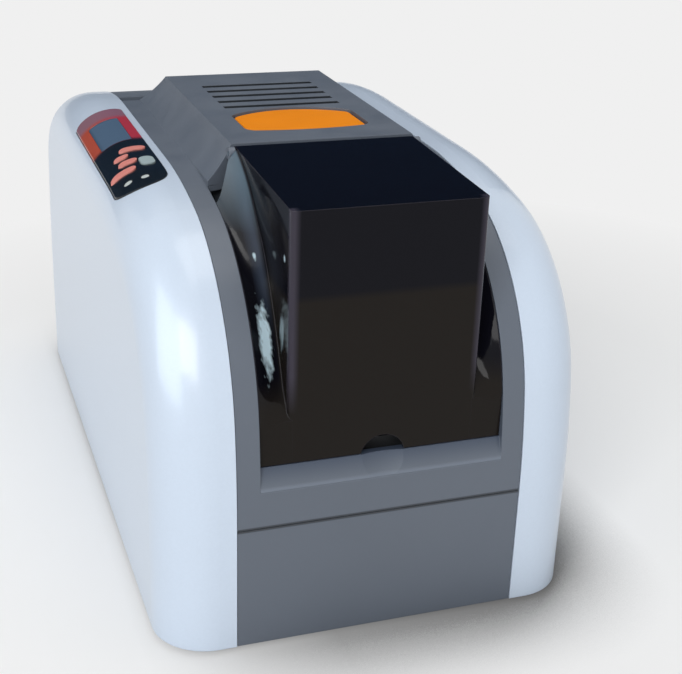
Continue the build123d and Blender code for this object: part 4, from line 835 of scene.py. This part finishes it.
class PRINTER_OT_base(Dresser, bpy.types.Operator):
    """Base tray, feet and case screws."""
    bl_idname = "printer.base"
    bl_label = "Base"

    def execute(self, context):
        inside = context.scene.printer_inside
        tray = moulded("base_plastic", shade(inside.black, 2.6), (0.45, 0.6), 0.5 * MM,
                       0.02 * MM, 0.5 * MM)
        dress(tray, "base_tray")
        feet, screws = bmesh.new(), bmesh.new()
        for low, high in islands("rubber_feet"):
            self.foot(feet, low, high)
        for low, high in islands("case_screws"):
            middle, size = (low + high) / 2, high - low
            cross_head(screws, facing((middle.x, low.y, middle.z), (0, 1, 0)),
                       size.x / 2 - 0.05 * MM, size.y)
        rubber = soft_rubber("foot_rubber", inside.rubber)
        steel = ground_metal("screw_steel", inside.steel, (0.28, 0.4))
        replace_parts(add_piece("grooved_feet", feet, "chassis", rubber), "rubber_feet")
        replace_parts(add_piece("cross_head_screws", screws, "chassis", steel), "case_screws")
        return {"FINISHED"}

    def foot(self, bm, low, high):
        """A foot with ring grooves in its sole and a hollow in the middle."""
        middle, radius, height = (low + high) / 2, (high.x - low.x) / 2, high.z - low.z
        profile = [(0.0, 0.0), (radius, 0.0), (radius - 0.6 * MM, 0.6 * height),
                   (radius - 0.85 * MM, 0.92 * height)]
        for groove in (1.25, 3.35, 5.45):
            edge = radius - groove * MM
            profile += [(edge, height), (edge - 0.9 * MM, height),
                        (edge - 1.2 * MM, 0.86 * height), (edge - 1.8 * MM, 0.86 * height)]
        profile += [(0.0, 0.6 * height)]
        turned(bm, facing((middle.x, middle.y, high.z), (0, 0, -1)), profile)


class PRINTER_OT_sockets(Dresser, bpy.types.Operator):
    """Mains inlet, switch and data sockets at the back."""
    bl_idname = "printer.sockets"
    bl_label = "Sockets and Switch"

    def execute(self, context):
        inside = context.scene.printer_inside
        dress(moulded("switch_black", inside.black, (0.35, 0.5)), "switch_frame", "power_switch")
        dress(socket_black(inside), "power_inlet")
        dress(socket_shell(inside), "data_ports")
        self.add_marks(inside)
        self.add_contacts(inside)
        return {"FINISHED"}

    def add_marks(self, inside):
        """Raised stroke and ring on the two halves of the rocker."""
        low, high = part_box("power_switch")
        middle, rise = (low + high) / 2, 0.12 * MM
        bm = bmesh.new()
        places = [landing("power_switch", (middle.x, high.y + 10 * MM,
                                           middle.z + side * 4.6 * MM),
                          (0, -1, 0)) for side in (-1, 1)]
        ring = ((1.2 * MM, 0.0), (1.75 * MM, 0.0), (1.7 * MM, rise), (1.25 * MM, rise),
                (1.2 * MM, 0.0))
        turned(bm, places[0], ring)
        rings = []
        for inset, height in ((0.0, 0.0), (0.06 * MM, rise)):
            half_w, half_h = 0.38 * MM - inset, 1.75 * MM - inset
            rings.append([bm.verts.new(places[1] @ Vector((sx * half_w, sy * half_h, height)))
                          for sx, sy in CORNERS])
        loft(bm, rings, closed=False)
        paint = moulded("mark_paint", inside.mark, (0.4, 0.5), 0.3 * MM, 0.004 * MM, 0.05 * MM)
        add_piece("switch_marks", bm, "switch", paint)

    def add_contacts(self, inside):
        """Contacts of the two data sockets, and the tongue of the square one."""
        square, wide = islands("data_ports")
        middle, face = (square[0] + square[1]) / 2, square[1].y
        gilt, tongue = bmesh.new(), bmesh.new()
        rings = []
        for back, shrink in ((-9.8, 0.0), (-3.0, 0.0), (-2.4, 0.5)):
            half_w, half_h = (2.9 - shrink) * MM, (1.5 - shrink) * MM
            rings.append([tongue.verts.new((middle.x + sx * half_w, face + back * MM,
                                            middle.z + sz * half_h))
                          for sx, sz in CORNERS])
        loft(tongue, rings, closed=False)
        for side in (-1, 1):
            for place in (-1.3, 1.3):
                path = [Vector((face + back * MM, middle.z + side * (1.5 + lift) * MM))
                        for back, lift in ((-9.6, 0.05), (-4.0, 0.12), (-3.2, 0.05))]
                bent_strip(gilt, path, middle.x + place * MM, 0.9 * MM, 0.12 * MM)
        middle = (wide[0] + wide[1]) / 2
        for place in range(8):
            path = [Vector((face + back * MM, middle.z + lift * MM)) for back, lift in
                    ((-9.7, 3.9), (-4.2, 3.8), (-3.4, 3.5), (-3.2, 2.9), (-8.8, -0.8))]
            bent_strip(gilt, path, middle.x + (place - 3.5) * 1.02 * MM, 0.45 * MM, 0.25 * MM)
        metal = ground_metal("contact_gilt", inside.gold, (0.2, 0.3))
        white = moulded("tongue_white", inside.nylon, (0.35, 0.45), edge=0.2 * MM)
        add_piece("socket_contacts", gilt, "chassis", metal)
        add_piece("socket_tongue", tongue, "chassis", white)


class PRINTER_OT_metalwork(Dresser, bpy.types.Operator):
    """Side plates, bulkhead, rods, pins and bushes."""
    bl_idname = "printer.metalwork"
    bl_label = "Metalwork"

    def execute(self, context):
        inside = context.scene.printer_inside
        sheet = ground_metal("zinc_sheet", inside.zinc, (0.3, 0.45), (1.0, 10.0, 1.0))
        dress(sheet, "left_side_plate", "right_side_plate", "rear_bulkhead", "head_arm")
        steel = ground_metal("ground_steel", inside.steel, (0.18, 0.32), (0.5, 6.0, 6.0))
        dress(steel, "cross_rods", "lid_hinge_pins", "latch_strikers", "pick_shaft",
              "feed_shaft", "platen_shaft", "transport_shaft", "motor_pulley")
        dress(nylon("bush_nylon", inside), "roller_bushings")
        return {"FINISHED"}


class PRINTER_OT_card_path(Dresser, bpy.types.Operator):
    """Hopper bin, card weight and output tray."""
    bl_idname = "printer.card_path"
    bl_label = "Card Hopper and Tray"

    def execute(self, context):
        inside = context.scene.printer_inside
        dress(inner_plastic("bin_black", inside.black), "hopper_bin", "output_tray")
        dress(inner_plastic("weight_grey", shade(inside.black, 6.0)), "card_weight")
        return {"FINISHED"}


class PRINTER_OT_rollers(Dresser, bpy.types.Operator):
    """Driven rubber rollers, pinch rollers and the cleaning roller."""
    bl_idname = "printer.rollers"
    bl_label = "Rollers"

    def execute(self, context):
        inside = context.scene.printer_inside
        dress(soft_rubber("roller_rubber", inside.rubber), "pick_roller", "feed_roller",
              "platen_roller", "transport_roller")
        dress(soft_rubber("cleaner_silicone", inside.cleaner, (0.2, 0.3)), "cleaning_roller")
        dress(nylon("pinch_nylon", inside), "front_pinch_roller", "rear_pinch_roller")
        return {"FINISHED"}


class PRINTER_OT_drive(Dresser, bpy.types.Operator):
    """Motor and drive belts."""
    bl_idname = "printer.drive"
    bl_label = "Drive"

    def execute(self, context):
        inside = context.scene.printer_inside
        dress(motor_finish(inside), "main_motor")
        long_belt, short_belt = islands("drive_belts")
        radius = (long_belt[1].z - long_belt[0].z) / 2
        bm = bmesh.new()
        for (low, high), near, far in ((long_belt, radius, radius),
                                       (short_belt, inside.driven_radius, inside.motor_radius)):
            toothed_belt(bm, Vector((low.y + near, high.z - near)),
                         Vector((high.y - far, low.z + far)), near, far,
                         (low.x, high.x), inside.belt_pitch, inside.belt_thick)
        rubber = soft_rubber("belt_rubber", inside.rubber, depth=0.01 * MM)
        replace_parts(add_piece("toothed_belts", bm, "chassis", rubber), "drive_belts")
        return {"FINISHED"}


class PRINTER_OT_ribbon(Dresser, bpy.types.Operator):
    """Ribbon cassette, spools and film."""
    bl_idname = "printer.ribbon"
    bl_label = "Ribbon"

    def execute(self, context):
        inside = context.scene.printer_inside
        dress(inner_plastic("cassette_grey", shade(inside.black, 9.0)), "ribbon_cassette")
        dress(nylon("spool_nylon", inside), "supply_spool", "takeup_spool")
        dyes = ((0.75, 0.55, 0.03), (0.55, 0.02, 0.14), (0.02, 0.25, 0.5), (0.03, 0.03, 0.035))
        dress(wound_film("film_dyes", dyes, 22 * MM), "ribbon_film")
        dress(wound_film("film_supply", dyes[1:3], 40 * MM), "supply_film")
        dress(wound_film("film_used", (dyes[3], shade(dyes[3], 2.5)), 30 * MM), "takeup_film")
        return {"FINISHED"}


class PRINTER_OT_print_head(Dresser, bpy.types.Operator):
    """Print head and its heat sink."""
    bl_idname = "printer.print_head"
    bl_label = "Print Head"

    def execute(self, context):
        inside = context.scene.printer_inside
        dress(ground_metal("sink_aluminium", shade(inside.steel, 1.2), (0.3, 0.45),
                           (10.0, 1.0, 1.0)), "head_heat_sink")
        dress(moulded("head_ceramic", inside.ceramic, (0.15, 0.25), depth=0.004 * MM, coat=0.4),
              "print_head")
        return {"FINISHED"}


class PRINTER_OT_fan(Dresser, bpy.types.Operator):
    """Cooling fan."""
    bl_idname = "printer.fan"
    bl_label = "Fan"

    def execute(self, context):
        inside = context.scene.printer_inside
        dress(moulded("fan_black", inside.black, (0.35, 0.5), edge=0.5 * MM),
              "fan_frame", "fan_impeller")
        return {"FINISHED"}


class PRINTER_OT_electronics(Dresser, bpy.types.Operator):
    """Power supply and control board."""
    bl_idname = "printer.electronics"
    bl_label = "Electronics"

    def execute(self, context):
        inside = context.scene.printer_inside
        dress(ground_metal("cage_zinc", inside.zinc, (0.35, 0.5), (1.0, 10.0, 1.0)),
              "power_supply")
        dress(circuit_board(inside), "control_board")
        return {"FINISHED"}


class PRINTER_OT_stage(Dresser, bpy.types.Operator):
    """Pale floor, soft light and the camera."""
    bl_idname = "printer.stage"
    bl_label = "Studio"

    def execute(self, context):
        studio = context.scene.printer_studio
        self.make_floor(studio)
        self.make_world(context, studio)
        self.make_lights(studio)
        self.make_camera(context, studio)
        return {"FINISHED"}

    def make_floor(self, studio):
        bm = bmesh.new()
        bmesh.ops.create_grid(bm, x_segments=1, y_segments=1, size=6.0)
        add_object("floor", bm, self.floor_paint(studio))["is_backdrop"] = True

    def floor_paint(self, studio):
        """Dull paint that keeps the shadow near the printer, adds a painted shadow close to its
        right and front, and further away passes into the plain background for camera and gloss."""
        paint = Finish("floor_paint", 0.9, specular=0.1)
        tone = paint.mix(paint.noise(0.4), (0.975, 0.965, 0.955), (0.965, 0.955, 0.945))
        apart = paint.add("ShaderNodeVectorMath", {0: paint.place, 1: studio.shadow_middle},
                          operation="DISTANCE").outputs["Value"]
        # painted shadow: the floor is painted dark where the printer stands close by, on its
        # right and front
        open_air = paint.add("ShaderNodeAmbientOcclusion", {
            "Distance": studio.contact_shadow_reach}, samples=8).outputs["AO"]
        painted_contact_shadow = paint.times(paint.ramp(open_air, 0.97, 0.62, 0.0, 0.95),
                              paint.ramp(paint.axes()[0], -110 * MM, -20 * MM))
        tone = paint.mix(painted_contact_shadow, tone, (0.06, 0.06, 0.06))
        far = paint.times(paint.ramp(apart, studio.shadow_reach * 0.45, studio.shadow_reach),
                          self.seen(paint.tree))
        plain = paint.add("ShaderNodeEmission", {
            "Color": rgba((1.0, 1.0, 1.0)), "Strength": studio.background}).outputs[0]
        made = paint.done(tone)
        both = paint.add("ShaderNodeMixShader", {
            0: far, 1: paint.shader.outputs[0], 2: plain}).outputs[0]
        paint.feed(paint.output.inputs["Surface"], both)
        return made

    def seen(self, tree):
        """1 for what the camera sees, straight or through gloss and glass."""
        rays = tree.nodes.new("ShaderNodeLightPath").outputs
        either = rays["Is Camera Ray"]
        for kind in ("Is Glossy Ray", "Is Transmission Ray"):
            larger = tree.nodes.new("ShaderNodeMath")
            larger.operation = "MAXIMUM"
            tree.links.new(either, larger.inputs[0])
            tree.links.new(rays[kind], larger.inputs[1])
            either = larger.outputs[0]
        return either

    def make_world(self, context, studio):
        world = bpy.data.worlds.new("studio_air")
        context.scene.world = world
        world.use_nodes = True
        tree = world.node_tree
        tree.nodes.clear()
        mix = tree.nodes.new("ShaderNodeMixShader")
        tree.links.new(self.seen(tree), mix.inputs[0])
        airs = (((0.95, 0.98, 1.0, 1.0), studio.world_strength),
                ((1.0, 1.0, 1.0, 1.0), studio.background))
        for place, (colour, strength) in enumerate(airs, 1):
            air = tree.nodes.new("ShaderNodeBackground")
            air.inputs["Color"].default_value = colour
            air.inputs["Strength"].default_value = strength
            tree.links.new(air.outputs[0], mix.inputs[place])
        out = tree.nodes.new("ShaderNodeOutputWorld")
        tree.links.new(mix.outputs[0], out.inputs[0])

    def make_lights(self, studio):
        self.add_lamp("key_light", (-1.3, -2.1, 1.7), 1.5, studio.key_strength)
        self.add_lamp("top_light", (0.3, 0.1, 2.4), 1.3, studio.top_strength)
        window = self.add_lamp("window_light", (-1.9, -0.7, 0.9), 1.8, studio.window_strength)
        window.visible_diffuse = False
        window.data.color = (0.80, 0.92, 1.0)
        self.add_flag()

    def add_lamp(self, name, place, size, power):
        light = bpy.data.lights.new(name, "AREA")
        light.size = size
        light.energy = power
        lamp = bpy.data.objects.new(name, light)
        place = Vector(place)
        lamp.location = place
        lamp.rotation_euler = (AIM - place).to_track_quat("-Z", "Y").to_euler()
        bpy.context.scene.collection.objects.link(lamp)
        return lamp

    def add_flag(self):
        """A dark card behind the printer that only reflections see."""
        bm = bmesh.new()
        corners = [(-1.3, 2.2, 0.1), (2.2, 2.2, 0.1), (2.2, 2.2, 2.1), (-1.3, 2.2, 2.1)]
        bm.faces.new([bm.verts.new(corner) for corner in corners])
        felt = Finish("flag_felt", 0.95, specular=0.0)
        flag = add_object("dark_flag", bm, felt.done((0.020, 0.045, 0.095)))
        flag.visible_camera = flag.visible_diffuse = flag.visible_shadow = False
        flag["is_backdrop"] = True

    def make_camera(self, context, studio):
        azimuth, elevation, roll = (
            studio.camera_azimuth, studio.camera_elevation, studio.camera_roll)
        back = Vector((math.sin(azimuth) * math.cos(elevation),
                       -math.cos(azimuth) * math.cos(elevation), math.sin(elevation)))
        level = Vector((0.0, 0.0, 1.0)).cross(back).normalized()
        up = back.cross(level)
        right = math.cos(roll) * level + math.sin(roll) * up
        top = math.cos(roll) * up - math.sin(roll) * level
        data = bpy.data.cameras.new("camera")
        data.sensor_width = 36.0
        data.lens = studio.focal
        camera = bpy.data.objects.new("camera", data)
        turn = Matrix((right, top, back)).transposed().to_4x4()
        camera.matrix_world = Matrix.Translation(studio.camera_place) @ turn
        context.scene.collection.objects.link(camera)
        context.scene.camera = camera
        context.scene.view_settings.view_transform = "Standard"


MAKERS = (
    PRINTER_OT_shells, PRINTER_OT_lid, PRINTER_OT_hopper_cover, PRINTER_OT_release,
    PRINTER_OT_control_panel, PRINTER_OT_base, PRINTER_OT_sockets, PRINTER_OT_metalwork,
    PRINTER_OT_card_path, PRINTER_OT_rollers, PRINTER_OT_drive, PRINTER_OT_ribbon,
    PRINTER_OT_print_head, PRINTER_OT_fan, PRINTER_OT_electronics, PRINTER_OT_stage)


class VIEW3D_PT_printer(bpy.types.Panel):
    """Lists what can be dressed, with the colours and sizes it uses."""
    bl_idname = "VIEW3D_PT_printer"
    bl_label = "Card Printer"
    bl_space_type = "VIEW_3D"
    bl_region_type = "UI"
    bl_category = "Printer"

    def draw(self, context):
        layout = self.layout
        for group in ("printer_housing", "printer_panel", "printer_inside", "printer_studio"):
            looks = getattr(context.scene, group)
            for name in looks.__annotations__:
                layout.prop(looks, name)
        for maker in MAKERS:
            layout.operator(maker.bl_idname)


LOOKS = {"printer_housing": HousingLook, "printer_panel": PanelLook,
         "printer_inside": InsideLook, "printer_studio": Studio}


def register():
    for group in LOOKS.values():
        bpy.utils.register_class(group)
    for maker in MAKERS:
        bpy.utils.register_class(maker)
    bpy.utils.register_class(VIEW3D_PT_printer)
    for name, group in LOOKS.items():
        setattr(bpy.types.Scene, name, PointerProperty(type=group))


def unregister():
    for name in LOOKS:
        delattr(bpy.types.Scene, name)
    bpy.utils.unregister_class(VIEW3D_PT_printer)
    for maker in reversed(MAKERS):
        bpy.utils.unregister_class(maker)
    for group in reversed(list(LOOKS.values())):
        bpy.utils.unregister_class(group)


def plain(bounds):
    return [[float(value) for value in corner] for corner in bounds]


def main():
    packed = plain(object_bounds())
    register()
    for maker in MAKERS:
        family, name = maker.bl_idname.split(".")
        getattr(getattr(bpy.ops, family), name)()
    {"packed": packed, "dressed": plain(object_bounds())}


if __name__ == "__main__":
    main()
